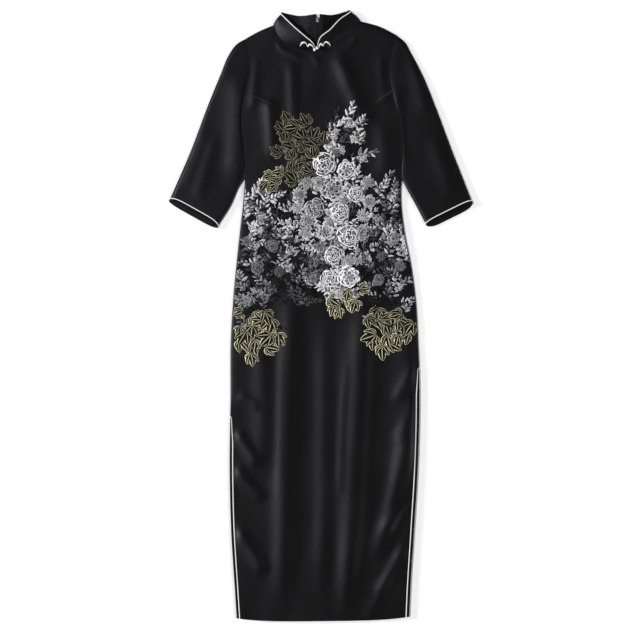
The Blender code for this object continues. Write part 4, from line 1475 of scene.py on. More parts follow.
# --- Collar ---
@dataclass(frozen=True)
class Collar:
    """One half of the mandarin collar: from the centre back round the fold to the centre front."""

    side: Side
    back_columns: int = 26
    front_columns: int = 46
    fold_columns: int = 9
    rows: int = 16
    gap: float = 0.0004
    wall: float = 0.0014
    crown: float = 0.0010
    crown_power: float = 1.3
    settle: float = 0.0008
    settle_columns: int = 10
    tuck_share: float = 0.16
    tuck_drop: float = 0.0012
    binding: float = 0.0042
    piping: float = 0.0020
    band_gap: float = 0.0001
    strip_rows: int = 8
    strip_wall: float = 0.0008
    centre_gap: float = 0.0015
    least_width: float = 0.0004
    facing_start: float = 0.0003
    facing_end: float = 0.0200
    facing_rows: int = 9
    facing_wall: float = 0.0006
    facing_depth: float = 0.0009

    def columns(self) -> tuple[Array, Array]:
        """Lower and upper end of each column of the outer face."""
        side = self.side
        back_shares = np.linspace(1, 0, self.back_columns)
        front_shares = np.linspace(0, 1, self.front_columns)
        turn = -side.sign
        back_lower = beside(along(BACK_NECK[side], 1 - back_shares), turn * self.gap)[::-1]
        back_upper = along(COLLAR_BACK_TOP[side], back_shares)
        back_lower[0, 0] = BACK_X + side.sign * self.centre_gap / 2
        front_lower = beside(along(FRONT_NECK[side], front_shares), turn * self.gap)
        front_upper = along(COLLAR_FRONT_TOP[side], front_shares)
        front_lower[-1, 0] += side.sign * self.gap / 2
        fold = back_upper[-1] - back_lower[-1]
        fold /= np.linalg.norm(fold)
        neck = np.array(FRONT_NECK[side][0][-2:]) + 2 * DRAFT.seam * fold
        back_lower[-1] = front_lower[0] = neck
        back = [points_of(*ends.T, DRAFT.lift_at(*ends.T)) for ends in (back_lower, back_upper)]
        shares = np.array([level.share for level in COLLAR_FRONT_LEVELS])
        front = []
        for ends, name in ((front_lower, "lower"), (front_upper, "upper")):
            levels = np.array([getattr(level, name) for level in COLLAR_FRONT_LEVELS])
            front.append(points_of(*ends.T, hermite(shares, levels, front_shares)))
        outward = np.array([side.sign * fold[1], -side.sign * fold[0], 0])
        angles = np.linspace(0, math.pi, self.fold_columns + 2)[1:-1]
        made = []
        for low_end, high_end in zip(back, front):
            middle, half = (low_end[-1] + high_end[0]) / 2, (high_end[0] - low_end[-1]) / 2
            swell = outward * abs(half[2])
            bend = [middle - half * math.cos(a) + swell * math.sin(a) for a in angles]
            made.append(np.concatenate([low_end, bend, high_end]))
        return made[0], made[1]

    def band(self, lower: Array, upper: Array, distances: Array) -> Array:
        """Rows at distances from the collar's free edge, closer where it isn't high enough."""
        height = np.linalg.norm(upper - lower, axis=1)[:, None]
        height = np.maximum(height, distances.max() + self.least_width)
        return np.stack([upper + (lower - upper) * distance / height for distance in distances])

    def cloth(self, lower: Array, upper: Array, finish: Finishes) -> Piece:
        """Builds the band, from a tuck under the neck seam up to the trims.

        Args:
            lower, upper: the ends of its columns.
            finish: the materials.

        Returns:
            The band, crowned by crown * sin(pi s)^1.3 and settled on the front at its foot.
        """
        right = self.side is RIGHT
        trim = self.binding + self.piping + 2 * self.band_gap
        height = np.linalg.norm(upper - lower, axis=1)[:, None]
        shares = np.linspace(0, 1, self.rows)
        rows = np.stack([lower + (upper - lower) * (1 - trim / height) * s for s in shares])
        rows = crowned(rows, self.crown * np.sin(math.pi * shares) ** self.crown_power, right)
        on_front = np.arange(rows.shape[1]) - self.back_columns - self.fold_columns
        settle = self.settle * (1 - shares[:, None]) ** 3
        rows[..., 2] -= settle * smooth(on_front / self.settle_columns)[None]
        tuck = rows[0] + (rows[0] - rows[1]) * self.tuck_share - np.array([0, 0, self.tuck_drop])
        rows = np.concatenate([tuck[None], rows])
        name = f"collar_{self.side.value}"
        obj = add_sheet(f"{name}_cloth", above_floor(rows), self.wall, flip=right)
        return finish_piece(obj, finish.satin, name)

    def strip(self, lower: Array, upper: Array, band: Band, finish: Finishes) -> Piece:
        """Builds piping or binding along the free edge."""
        left = self.side is LEFT
        across = np.linspace(0, 1, self.strip_rows)
        grid = self.band(lower, upper, np.linspace(band.outer, band.inner, self.strip_rows))
        grid = above_floor(crowned(grid, band.bulge(across), left))
        return add_strip(f"collar_{self.side.value}", band, finish, grid, self.strip_wall, False, left)

    def facing(self, lower: Array, upper: Array, finish: Finishes) -> Piece:
        """Builds the facing inside the band."""
        left = self.side is LEFT
        grid = self.band(lower, upper, np.linspace(self.facing_start, self.facing_end, self.facing_rows))
        grid = crowned(grid, np.full(self.facing_rows, -self.facing_depth), left)
        obj = add_sheet(f"collar_{self.side.value}_facing", grid, self.facing_wall, flip=left)
        return finish_piece(obj, finish.satin)

    def build(self, finish: Finishes) -> tuple[Piece, list[Piece]]:
        """Builds the band and its trims."""
        ends = self.columns()
        inner = self.binding + self.band_gap
        bands = (
            Band("piping", inner, self.binding + self.piping + self.band_gap, 0.0009),
            Band("binding", 0.0, self.binding, 0.0004),
        )
        cloth = self.cloth(*ends, finish)
        strips = [self.strip(*ends, band, finish) for band in bands]
        return cloth, [*strips, self.facing(*ends, finish)]


# --- Zip ---
def signed_power(value: Array, power: float) -> Array:
    """sign(v) * |v|^p, which squares off a sine or cosine where p is under 1."""
    return np.sign(value) * np.abs(value) ** power


@dataclass(frozen=True)
class Zip:
    """Two tapes, the coil along them, the slider inside the collar and the pull tab under it."""

    gap: float = 0.0015
    width: float = 0.0100
    wall: float = 0.0008
    top: float = 0.6406
    foot: float = 0.0950
    flat_end: float = 0.010
    neck_foot: float = 0.575
    flat_rows: int = 30
    neck_rows: int = 24
    columns: tuple[float, ...] = (0, 0.06, 0.14, 0.3, 0.6, 0.85, 1.0)
    edge_width: float = 0.0012
    edge_rise: float = 0.0002
    collar_foot: float = 0.590
    collar_climb: float = 0.010
    collar_step: float = 0.0003
    coil_foot: float = 0.5900
    coil_end: float = 0.0015
    coil_pitch: float = 0.0011
    coil_radius: float = 0.0007
    coil_breadth: float = 1.3
    coil_bed: float = 0.0003
    coil_points: int = 10
    thread: float = 0.00028
    thread_sides: int = 6
    slider_y: float = 0.6361
    slider: Triple = (0.0068, 0.0098, 0.0016)
    slider_rings: int = 13
    slider_sides: int = 48
    rim_power: float = 0.45
    plan_power: float = 0.7
    face_power: float = 0.8
    taper: float = 0.28
    rib_width: float = 0.14
    rib_rise: float = 0.0004

    def level(self, x: Array, y: Array) -> Array:
        """Underside of the tape, on the back panel and then on the collar's inner face."""
        on_collar = smooth((y - self.collar_foot) / self.collar_climb)
        return DRAFT.cloth + self.collar_step * on_collar + DRAFT.seam + DRAFT.lift_at(x, y)

    def tape(self, side: Side, finish: Finishes) -> Piece:
        """Builds one tape: a flat strip with a slightly raised edge beside the coil."""
        flat = np.linspace(self.foot, DRAFT.lift_start - self.flat_end, self.flat_rows)
        y = np.concatenate([flat, np.linspace(self.neck_foot, self.top, self.neck_rows)])
        offsets = self.gap / 2 + self.width * np.array(self.columns)
        x = BACK_X + side.sign * (offsets if side is RIGHT else offsets[::-1])
        x, y = np.meshgrid(x, y)
        near = np.exp(-(((np.abs(x - BACK_X) - self.gap / 2) / self.edge_width) ** 2))
        z = self.level(x, y) + self.wall + self.edge_rise * near
        obj = add_sheet(f"zip_tape_{side.value}_cloth", points_of(x, y, z), self.wall)
        return finish_piece(obj, finish.tape, f"zip_tape_{side.value}")

    def coil(self, finish: Finishes) -> Piece:
        """Builds the closed coil: a helix of fine thread, flattened, up the middle of the tapes."""
        turns = (self.top - self.coil_end - self.coil_foot) / self.coil_pitch
        t = np.linspace(0, turns, int(turns * self.coil_points))
        y = self.coil_foot + t * self.coil_pitch
        x = BACK_X + self.coil_breadth * self.coil_radius * np.cos(TURN * t)
        z = self.level(np.full_like(y, BACK_X), y) + self.wall
        z = z + 0.5 * self.coil_radius * (1 + np.sin(TURN * t)) - self.coil_bed
        radius = np.full(len(t), self.thread)
        obj = capped_tube("zip_coil", points_of(x, y, z), radius, self.thread_sides)
        return finish_piece(obj, finish.tape)

    def slider_body(self, finish: Finishes) -> Piece:
        """Builds the slider: a rounded plate that narrows to its foot, with a raised middle rib.

        The plate is a superellipsoid. With e from its underside to its top and a round it, and C and S
        a cosine and a sine to a power under 1: x = width/2 * C(e) * C(a) * taper(y),
        y = length/2 * C(e) * S(a) and z = thick/2 * S(e).
        """
        width, length, thick = self.slider
        base = float(self.level(np.array(BACK_X), np.array(self.slider_y))) + self.wall + DRAFT.seam
        rise, turn = globe(self.slider_rings, self.slider_sides)
        flat = signed_power(np.cos(rise), self.rim_power)
        y = 0.5 * length * flat * signed_power(np.sin(turn), self.plan_power)
        taper = 1 - self.taper * smooth(0.5 - y / length)
        x = 0.5 * width * flat * signed_power(np.cos(turn), self.plan_power) * taper
        rib = np.exp(-((x / (self.rib_width * width)) ** 2)) * (rise > 0)
        face = 0.5 * thick * signed_power(np.sin(rise), self.face_power)
        z = base + thick * 0.5 + face + self.rib_rise * rib
        grid = points_of(BACK_X + x, self.slider_y + y, z)
        obj = add_sheet("zip_slider_body", grid, ring=True, capped=(0, -1))
        return finish_piece(obj, finish.metal)

    def build(self, finish: Finishes) -> None:
        """Builds the tapes, coil and slider top, and finishes the carried-over metal."""
        for side in Side:
            self.tape(side, finish)
        self.coil(finish)
        self.slider_body(finish)
        for node in ("zip_slider", "zip_pull_tab"):
            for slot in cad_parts[node].material_slots:
                slot.material = finish.metal.material


# --- Frog fastening ---
FROG_KNOTS = (
    (LEFT, Point("ball", -0.0138, 0.5722), (0.0052, 0.0072, 0.0040)),
    (RIGHT, Point("eye", -0.0082, 0.5750), (0.0060, 0.0058, 0.0038)),
)
FROG_LOOPS = both(
    ("root", (-0.0160, 0.5762), (-0.0034, 0.5765)),
    ("small lobe inner", (-0.0200, 0.5812), (-0.0022, 0.5822)),
    ("small lobe", (-0.0242, 0.5828), (0.0010, 0.5840)),
    ("valley", (-0.0282, 0.5788), (0.0046, 0.5802)),
    ("big lobe inner", (-0.0314, 0.5846), (0.0072, 0.5856)),
    ("big lobe", (-0.0360, 0.5874), (0.0114, 0.5884)),
    ("big lobe outer", (-0.0410, 0.5852), (0.0168, 0.5856)),
    ("tip", (-0.0440, 0.5798), (0.0205, 0.5790)),
    ("foot", (-0.0385, 0.5722), (0.0150, 0.5722)),
    ("heel", (-0.0260, 0.5718), (0.0050, 0.5716)),
)


@dataclass(frozen=True)
class Frog:
    """Two padded loops and the ball knot between them."""

    cord: float = 0.0013
    accent: float = 0.0020
    puff: float = 0.0016
    bedding: float = 0.0002
    feel: float = 0.0016
    smoothing: int = 9
    steps: int = 120
    sides: int = 12
    pad_rings: int = 10
    pad_eye: float = 0.02
    upper_share: float = 0.57
    accent_rise: float = 0.75
    accent_sides: int = 8
    accent_least: float = 0.35
    feelers: int = 8
    knot_rings: int = 26
    knot_sides: int = 44
    wraps: int = 3
    wrap_lean: float = 0.9
    wrap_base: float = 0.94
    wrap_depth: float = 0.08
    knot_lift: float = 0.0003

    def ground(self, pieces: Sequence[Piece]) -> Callable[[float, float], float]:
        """A function that gives the highest surface of the pieces near a point."""
        bpy.context.view_layer.update()
        graph = bpy.context.evaluated_depsgraph_get()
        trees = [BVHTree.FromObject(piece, graph) for piece in pieces]
        angles = np.linspace(0, TURN, self.feelers)
        ring = [(0.0, 0.0), *((self.feel * math.cos(a), self.feel * math.sin(a)) for a in angles)]

        def height(x: float, y: float) -> float:
            """Highest hit of rays from above."""
            hits = [
                tree.ray_cast(Vector((x + dx, y + dy, 1)), Vector((0, 0, -1)))[0]
                for tree in trees
                for dx, dy in ring
            ]
            return max((hit.z for hit in hits if hit is not None), default=0.0)

        return height

    def outline(self, points: Sequence[Point]) -> Array:
        """A closed smooth curve through the loop's points."""
        closed = [p[-2:] for p in points]
        closed = np.array(closed[-2:] + closed + closed[:3])
        knots = np.concatenate([[0], np.cumsum(np.linalg.norm(np.diff(closed, axis=0), axis=1))])
        return hermite(knots, closed, np.linspace(knots[2], knots[-3], self.steps, endpoint=False))

    def path(self, points: Sequence[Point], height: Callable) -> Array:
        """Centre line of a loop's cord, at the smoothed height of what lies under it."""
        plan = self.outline(points)
        under = np.array([height(x, y) for x, y in plan])
        kernel = np.ones(self.smoothing) / self.smoothing
        level = np.convolve(np.pad(under, self.smoothing // 2, "wrap"), kernel, "valid")
        level = np.maximum(level, under - self.bedding)
        return points_of(*plan.T, level + self.bedding + self.cord)

    def loop_cord(self, side: Side, path: Array, finish: Finishes) -> None:
        """Builds the cord of a loop."""
        rings = tube(path, np.full(self.steps, self.cord), self.sides, closed=True)
        faces = grid_faces(self.steps + 1, self.sides, ring=True) % (self.steps * self.sides)
        obj = add_mesh(f"frog_cord_{side.value}", rings.reshape(-1, 3), [faces])
        finish_piece(obj, finish.rouleau, f"frog_loop_{side.value}")

    def pad(self, side: Side, path: Array, finish: Finishes) -> None:
        """Builds the padded middle of a loop: rings from the cord to the centre, raised by
        puff * sqrt(1 - s^2), s being the share of the way out."""
        share = np.linspace(1.0, self.pad_eye, self.pad_rings)[:, None, None]
        centre = np.array([column.mean() for column in path.T])
        grid = centre + (path[None] - centre) * share
        grid[..., 2] += self.puff * np.sqrt(1 - share[..., 0] ** 2)
        right = side is RIGHT
        obj = add_sheet(f"frog_pad_{side.value}", grid, ring=True, flip=right, capped=(0, -1))
        finish_piece(obj, finish.rouleau)

    def loop_highlight_cord(self, side: Side, path: Array, finish: Finishes) -> None:
        """Builds the white cord along a loop's upper edge, thickest in the middle of each lobe. It is
        partly the frog's own white cord and partly a painted highlight where light falls on the lobes.
        """
        line = path[: int(self.steps * self.upper_share)].copy()
        line[:, 2] += self.cord * self.accent_rise
        run = np.linspace(0, 1, len(line))
        # painted highlight in part: the white cord lies only on the upper edge and swells at each lobe's
        # top, where light falls
        radius = self.accent * (self.accent_least + (1 - self.accent_least) * np.sin(TURN * run) ** 2)
        obj = capped_tube(f"frog_highlight_cord_{side.value}", line, radius, self.accent_sides)
        finish_piece(obj, finish.piping)

    def knot(self, side: Side, centre: Point, size: Triple, height: Callable, finish: Finishes) -> None:
        """Builds half of the knot, the ball on the left or the eye round it on the right.

        It is an ellipsoid with three wraps, r = 0.94 + 0.08 * |sin(3 * (a + 0.9 * e))|.

        Args:
            side: which half.
            centre: its middle in plan.
            size: its width, length and height.
            height: gives the surface under it.
            finish: the materials.
        """
        e, a = globe(self.knot_rings, self.knot_sides)
        swell = self.wrap_base + self.wrap_depth * np.abs(np.sin(self.wraps * (a + self.wrap_lean * e)))
        x = 0.5 * size[0] * np.cos(e) * np.cos(a) * swell
        y = 0.5 * size[1] * np.cos(e) * np.sin(a) * swell
        z = 0.5 * size[2] * np.sin(e) * swell
        base = height(centre.x, centre.y) + self.knot_lift + size[2] / 2
        grid = points_of(centre.x + x, centre.y + y, base + z)
        obj = add_sheet(f"frog_knot_{side.value}", grid, ring=True, capped=(0, -1))
        finish_piece(obj, finish.piping, "frog_knot")

    def build(self, under: Sequence[Piece], finish: Finishes) -> None:
        """Builds the fastening on the pieces that carry it."""
        height = self.ground(under)
        for side, points in FROG_LOOPS.items():
            path = self.path(points, height)
            self.loop_cord(side, path, finish)
            self.pad(side, path, finish)
            self.loop_highlight_cord(side, path, finish)
        for side, centre, size in FROG_KNOTS:
            self.knot(side, centre, size, height, finish)


# --- Darts ---
DARTS = (
    (LEFT, Point("side", -0.1500, 0.4750), Point("point", -0.0947, 0.4500)),
    (RIGHT, Point("side", 0.1530, 0.4850), Point("point", 0.1150, 0.4552)),
)


@dataclass(frozen=True)
class Darts:
    """The two bust darts: each seam shows as a low, soft ridge on the front."""

    half_width: float = 0.0020
    crown: float = 0.0006
    root: float = 0.0003
    sink: float = 0.0001
    least_taper: float = 0.1
    start_climb: float = 8
    steps: int = 40
    sides: int = 16

    def build(self, finish: Finishes) -> list[Piece]:
        """Builds both seams, each a tube squashed to a lens: z = crown * s^2 above the cloth and
        -root * s^2 in it, s being the sine round the tube."""
        made = []
        share = np.linspace(0, 1, self.steps)
        taper = np.sqrt(np.maximum(1 - share**2, 0.01))
        taper = taper * np.minimum(1, self.least_taper + share * self.start_climb)
        for side, start, end in DARTS:
            x, y = (a + (b - a) * share for a, b in zip(start[-2:], end[-2:]))
            path = points_of(x, y, DRAFT.front_top(x, y) - self.sink)
            radius = self.half_width * taper
            rings = tube(path, radius, self.sides, closed=False)
            lift = (rings[..., 2] - path[:, None, 2]) / radius[:, None]
            squash = np.where(lift > 0, self.crown, -self.root) * taper[:, None]
            rings[..., 2] = path[:, None, 2] + squash * lift**2
            obj = add_sheet(f"dart_{side.value}", rings, ring=True, capped=(0, -1))
            # the lighter satin of the darts is a painted highlight along each seam
            made.append(finish_piece(obj, finish.seam))
        return made


# --- Embroidery ---
EDGE_MARGIN = 0.0022
BLADE_PUFF = 0.00035
PUFF_SHARE = 0.06
BLADE_ROOT = 0.0003
LEAST_WIDTH = 0.05
RUFFLE, RUFFLE_RATE, RUFFLE_TURN = 0.07, 17, 3
OUTLINE_SHARES = (0.45, 0.92)
PETAL_SHADE, LEAF_SHADE, TIP_SHADE = 0.46, 0.62, 0.55
DISPLAY_GAMMA = 2.2
GOLDEN_ANGLE = 2.399963


class Blade(Enum):
    """Outline of one stitched blade: where it is widest, the power that rounds its ends, and how many
    steps run along it and across each half of it."""

    PETAL = (0.68, 0.46, 10, 3)
    LEAF = (0.42, 0.85, 5, 1)
    LOBE = (0.52, 0.75, 7, 2)


PETAL, LEAF, LOBE = Blade


@dataclass(frozen=True)
class Blades:
    """A batch of stitched blades, one entry in each array for each blade."""

    x: Array
    y: Array
    angle: Array
    length: Array
    width: Array
    rise: Array
    fill: Array
    edge: Array
    vein: Array
    bend: Array
    kind: Blade
    line: float = 0.0010

    def surface(self) -> tuple[Array, Array, Array]:
        """Points, stitch map and tones of every blade.

        A blade's half-width is width/2 * (1 - ((u - m) / (m or 1 - m))^2)^p, m and p being its kind's
        numbers, with a ruffle on petals; it bows sideways by bend * sin(pi u); its height is
        rise + puff * (1 - v^2) * sin(pi u)^0.5, and its rim runs down into the cloth all round.

        Returns:
            Blades by rows by columns by 3, the same by 2, and the same by 4.
        """
        widest, power, steps, half_steps = self.kind.value
        spread = np.concatenate([[-1.0], np.linspace(-1, 1, 2 * half_steps + 1), [1.0]])
        u = ((1 - np.cos(math.pi * np.arange(steps + 1) / steps)) / 2)[None, :, None]
        v = spread[None, None, :]
        wall = np.zeros((1, steps + 1, spread.size))
        wall[:, [0, -1], :] = 1
        wall[:, :, [0, -1]] = 1
        long, wide, turn, bend, rise, fill, edge, vein = (
            getattr(self, name)[:, None, None]
            for name in ("length", "width", "angle", "bend", "rise", "fill", "edge", "vein")
        )
        reach = np.where(u < widest, widest, 1 - widest)
        full = np.maximum(1 - ((u - widest) / reach) ** 2, 0.0) ** power
        half = np.maximum(full, LEAST_WIDTH) * wide / 2
        if self.kind is PETAL:
            half = half * (1 + RUFFLE * np.sin(u * RUFFLE_RATE + turn * RUFFLE_TURN))
        off = v * half + bend * long * np.sin(math.pi * u)
        x = self.x[:, None, None] + u * long * np.cos(turn) - off * np.sin(turn)
        y = self.y[:, None, None] + u * long * np.sin(turn) + off * np.cos(turn)
        left, right = (DRAFT.outline_x(side, y.ravel()).reshape(y.shape) for side in Side)
        x = np.clip(x, left + EDGE_MARGIN, right - EDGE_MARGIN)
        puff = np.minimum(BLADE_PUFF, wide * PUFF_SHARE)
        dome = puff * (1 - v**2) * np.sin(math.pi * np.clip(u, 0.05, 0.95)) ** 0.5
        z = DRAFT.front_top(x, y) + (rise + dome) * (1 - wall) - BLADE_ROOT * wall
        start = np.clip(1 - self.line / (wide / 2), *OUTLINE_SHARES)
        uv = np.stack(np.broadcast_arrays(u, (v + 1) / 2, x)[:2], axis=-1)
        shade = (PETAL_SHADE if self.kind is PETAL else LEAF_SHADE) + TIP_SHADE * u
        fill = np.clip(fill * shade, 0, 1) ** DISPLAY_GAMMA
        tones = (fill, edge**DISPLAY_GAMMA, vein, start)
        tones = np.stack(np.broadcast_arrays(x, *tones)[1:], axis=-1)
        return points_of(x, y, z), uv, tones


def blade_faces(rows: int, columns: int) -> list[Array]:
    """Faces of one blade: its top, the triangles at its four corners, and its base.

    Each corner point of the grid lies on the point beside it in its row, so no face uses it.

    Args:
        rows, columns: the blade's grid.

    Returns:
        Point numbers of the squares, of the triangles and of the base.
    """
    index = np.arange(rows * columns).reshape(rows, columns)
    corners = index[[0, 0, -1, -1], [0, -1, 0, -1]]
    quads = grid_faces(rows, columns, flip=True)
    ends = np.isin(quads, corners).any(axis=1)
    triangles = quads[ends][~np.isin(quads[ends], corners)].reshape(-1, 3)
    base = [index[0, 1:-1], index[1:-1, -1], index[-1, -2:0:-1], index[-2:0:-1, 0]]
    return [quads[~ends], triangles, np.concatenate(base)[None]]


def join_blades(batches: Sequence[Blades]) -> tuple[list[Array], ...]:
    """Faces, points, stitch map and tones of several batches in one mesh.

    Args:
        batches: the blades.

    Returns:
        Arrays of faces, each of its own number of sides, and one array each of points, places on the
        stitch map and tones, without the points that no face uses.
    """
    faces, parts, start = [], [], 0
    for batch in batches:
        grid, uv, tone = batch.surface()
        count, rows, columns = grid.shape[:3]
        offsets = np.arange(count)[:, None, None] * rows * columns + start
        for part in blade_faces(rows, columns):
            faces.append((part[None] + offsets).reshape(-1, part.shape[1]))
        parts.append([grid.reshape(-1, 3), uv.reshape(-1, 2), tone.reshape(-1, 4)])
        start += count * rows * columns
    used, numbers = np.unique(np.concatenate([part.ravel() for part in faces]), return_inverse=True)
    cuts = np.cumsum([part.size for part in faces])[:-1]
    faces = [new.reshape(old.shape) for new, old in zip(np.split(numbers.ravel(), cuts), faces)]
    return faces, *(np.concatenate(part)[used] for part in zip(*parts))


class Bed(NamedTuple):
    """An oval patch of motifs: middle, half-sizes, tilt, how many, size of each, how light it is at its
    top and at its foot, and the direction the motifs grow in."""

    name: str
    x: float
    y: float
    across: float
    along: float
    tilt: float
    count: int
    size: float
    top: float
    foot: float
    aim: float


class Ring(NamedTuple):
    """One ring of petals: how many, how far they reach and how broad each is, as shares of the
    flower's radius."""

    count: int
    reach: float
    broad: float
    kind: Blade


class Style(Enum):
    """Kinds of flower, as rings from the outside in."""

    ROSE = (
        Ring(6, 1.00, 0.86, PETAL),
        Ring(6, 0.86, 0.70, PETAL),
        Ring(5, 0.68, 0.62, PETAL),
        Ring(4, 0.48, 0.54, PETAL),
        Ring(4, 0.30, 0.34, PETAL),
    )
    PEONY = (
        Ring(10, 1.00, 0.50, PETAL),
        Ring(9, 0.84, 0.44, PETAL),
        Ring(7, 0.64, 0.38, PETAL),
        Ring(6, 0.44, 0.28, LEAF),
        Ring(5, 0.24, 0.20, LEAF),
    )
    DAISY = (
        Ring(17, 1.00, 0.24, LEAF),
        Ring(13, 0.70, 0.20, LEAF),
        Ring(7, 0.36, 0.18, LEAF),
    )
    STAR = (Ring(5, 1.00, 0.62, LOBE), Ring(5, 0.45, 0.26, LEAF))


ROSE, PEONY, DAISY, STAR = Style


class Bloom(NamedTuple):
    """One flower: middle, radius, how light it is, and its kind."""

    x: float
    y: float
    radius: float
    tone: float
    style: Style


BLOOMS = (
    Bloom(0.006, 0.326, 0.027, 1.00, ROSE),
    Bloom(0.055, 0.312, 0.023, 0.83, PEONY),
    Bloom(0.090, 0.338, 0.012, 0.96, STAR),
    Bloom(-0.032, 0.286, 0.017, 0.69, DAISY),
    Bloom(0.024, 0.272, 0.026, 0.76, PEONY),
    Bloom(0.074, 0.262, 0.020, 0.86, ROSE),
    Bloom(-0.014, 0.230, 0.022, 0.69, ROSE),
    Bloom(0.040, 0.222, 0.024, 0.95, ROSE),
    Bloom(0.090, 0.216, 0.015, 0.76, DAISY),
    Bloom(-0.050, 0.232, 0.016, 0.76, DAISY),
    Bloom(0.008, 0.180, 0.020, 0.72, PEONY),
    Bloom(0.060, 0.170, 0.026, 1.00, ROSE),
    Bloom(-0.032, 0.178, 0.015, 0.72, DAISY),
    Bloom(0.026, 0.130, 0.020, 0.84, ROSE),
    Bloom(0.080, 0.120, 0.014, 0.69, DAISY),
    Bloom(-0.010, 0.120, 0.014, 0.62, STAR),
    Bloom(0.060, 0.084, 0.025, 1.00, PEONY),
    Bloom(0.018, 0.080, 0.018, 0.89, ROSE),
    Bloom(0.038, 0.046, 0.014, 0.83, DAISY),
    Bloom(-0.128, 0.212, 0.012, 0.85, STAR),
    Bloom(-0.160, 0.160, 0.013, 0.50, DAISY),
    Bloom(-0.104, 0.150, 0.014, 0.42, ROSE),
    Bloom(-0.136, 0.104, 0.015, 0.42, ROSE),
    Bloom(-0.090, 0.096, 0.012, 0.38, DAISY),
    Bloom(0.120, 0.208, 0.013, 0.75, STAR),
    Bloom(0.156, 0.166, 0.014, 0.55, ROSE),
    Bloom(0.130, 0.128, 0.012, 0.40, DAISY),
    Bloom(0.170, 0.108, 0.013, 0.48, DAISY),
    Bloom(0.124, 0.078, 0.013, 0.42, ROSE),
    Bloom(0.028, 0.388, 0.012, 0.95, STAR),
    Bloom(0.060, 0.412, 0.010, 1.00, STAR),
    Bloom(0.072, 0.380, 0.011, 0.85, DAISY),
    Bloom(-0.006, 0.286, 0.015, 0.66, ROSE),
    Bloom(0.050, 0.244, 0.014, 0.62, DAISY),
    Bloom(-0.044, 0.262, 0.015, 0.58, PEONY),
    Bloom(0.100, 0.286, 0.015, 0.66, DAISY),
    Bloom(0.104, 0.246, 0.016, 0.62, PEONY),
    Bloom(0.020, 0.204, 0.015, 0.68, DAISY),
    Bloom(-0.028, 0.206, 0.016, 0.60, PEONY),
    Bloom(0.088, 0.180, 0.016, 0.62, ROSE),
    Bloom(0.034, 0.154, 0.014, 0.70, STAR),
    Bloom(-0.004, 0.150, 0.015, 0.56, DAISY),
    Bloom(0.058, 0.120, 0.015, 0.72, DAISY),
    Bloom(0.044, 0.358, 0.010, 0.80, STAR),
)
SPRIG_BEDS = (
    Bed("crown", 0.048, 0.374, 0.043, 0.046, -0.45, 30, 0.0150, 1.25, 1.10, 1.2),
    Bed("waist", 0.020, 0.236, 0.072, 0.098, -0.2, 64, 0.0145, 1.05, 0.88, 1.6),
    Bed("hip", 0.040, 0.105, 0.056, 0.085, 0.1, 50, 0.0138, 0.98, 1.00, 1.6),
    Bed("middle", -0.044, 0.130, 0.050, 0.110, 0.1, 58, 0.0138, 0.98, 0.30, 1.8),
    Bed("side left", -0.134, 0.150, 0.052, 0.125, 0.02, 92, 0.0132, 1.12, 0.36, 1.7),
    Bed("side right", 0.140, 0.150, 0.056, 0.125, 0.02, 96, 0.0132, 1.12, 0.36, 1.4),
    Bed("low left", -0.130, 0.020, 0.050, 0.050, 0.0, 22, 0.0120, 0.55, 0.30, 1.7),
    Bed("low right", 0.150, 0.010, 0.046, 0.050, 0.0, 26, 0.0120, 0.62, 0.42, 1.4),
    Bed("dark foot", -0.045, 0.062, 0.036, 0.046, 0.0, 20, 0.0120, 0.32, 0.20, 1.6),
)
GOLD_BEDS = (
    Bed("upper", -0.042, 0.352, 0.050, 0.076, 0.25, 22, 0.031, 0.62, 0.68, 2.1),
    Bed("upper foot", -0.094, 0.296, 0.026, 0.022, 0.0, 5, 0.026, 0.86, 0.92, 3.4),
    Bed("left foot", -0.136, -0.030, 0.048, 0.052, 0.0, 16, 0.033, 0.86, 1.12, -1.57),
    Bed("middle foot", 0.052, 0.040, 0.040, 0.026, 0.3, 10, 0.030, 1.0, 1.12, -1.4),
    Bed("right foot", 0.148, -0.022, 0.054, 0.048, -0.25, 18, 0.033, 0.78, 1.12, -1.3),
)
LOBES = ((-1.30, 0.60), (-0.65, 0.84), (0.0, 1.0), (0.65, 0.84), (1.30, 0.60))


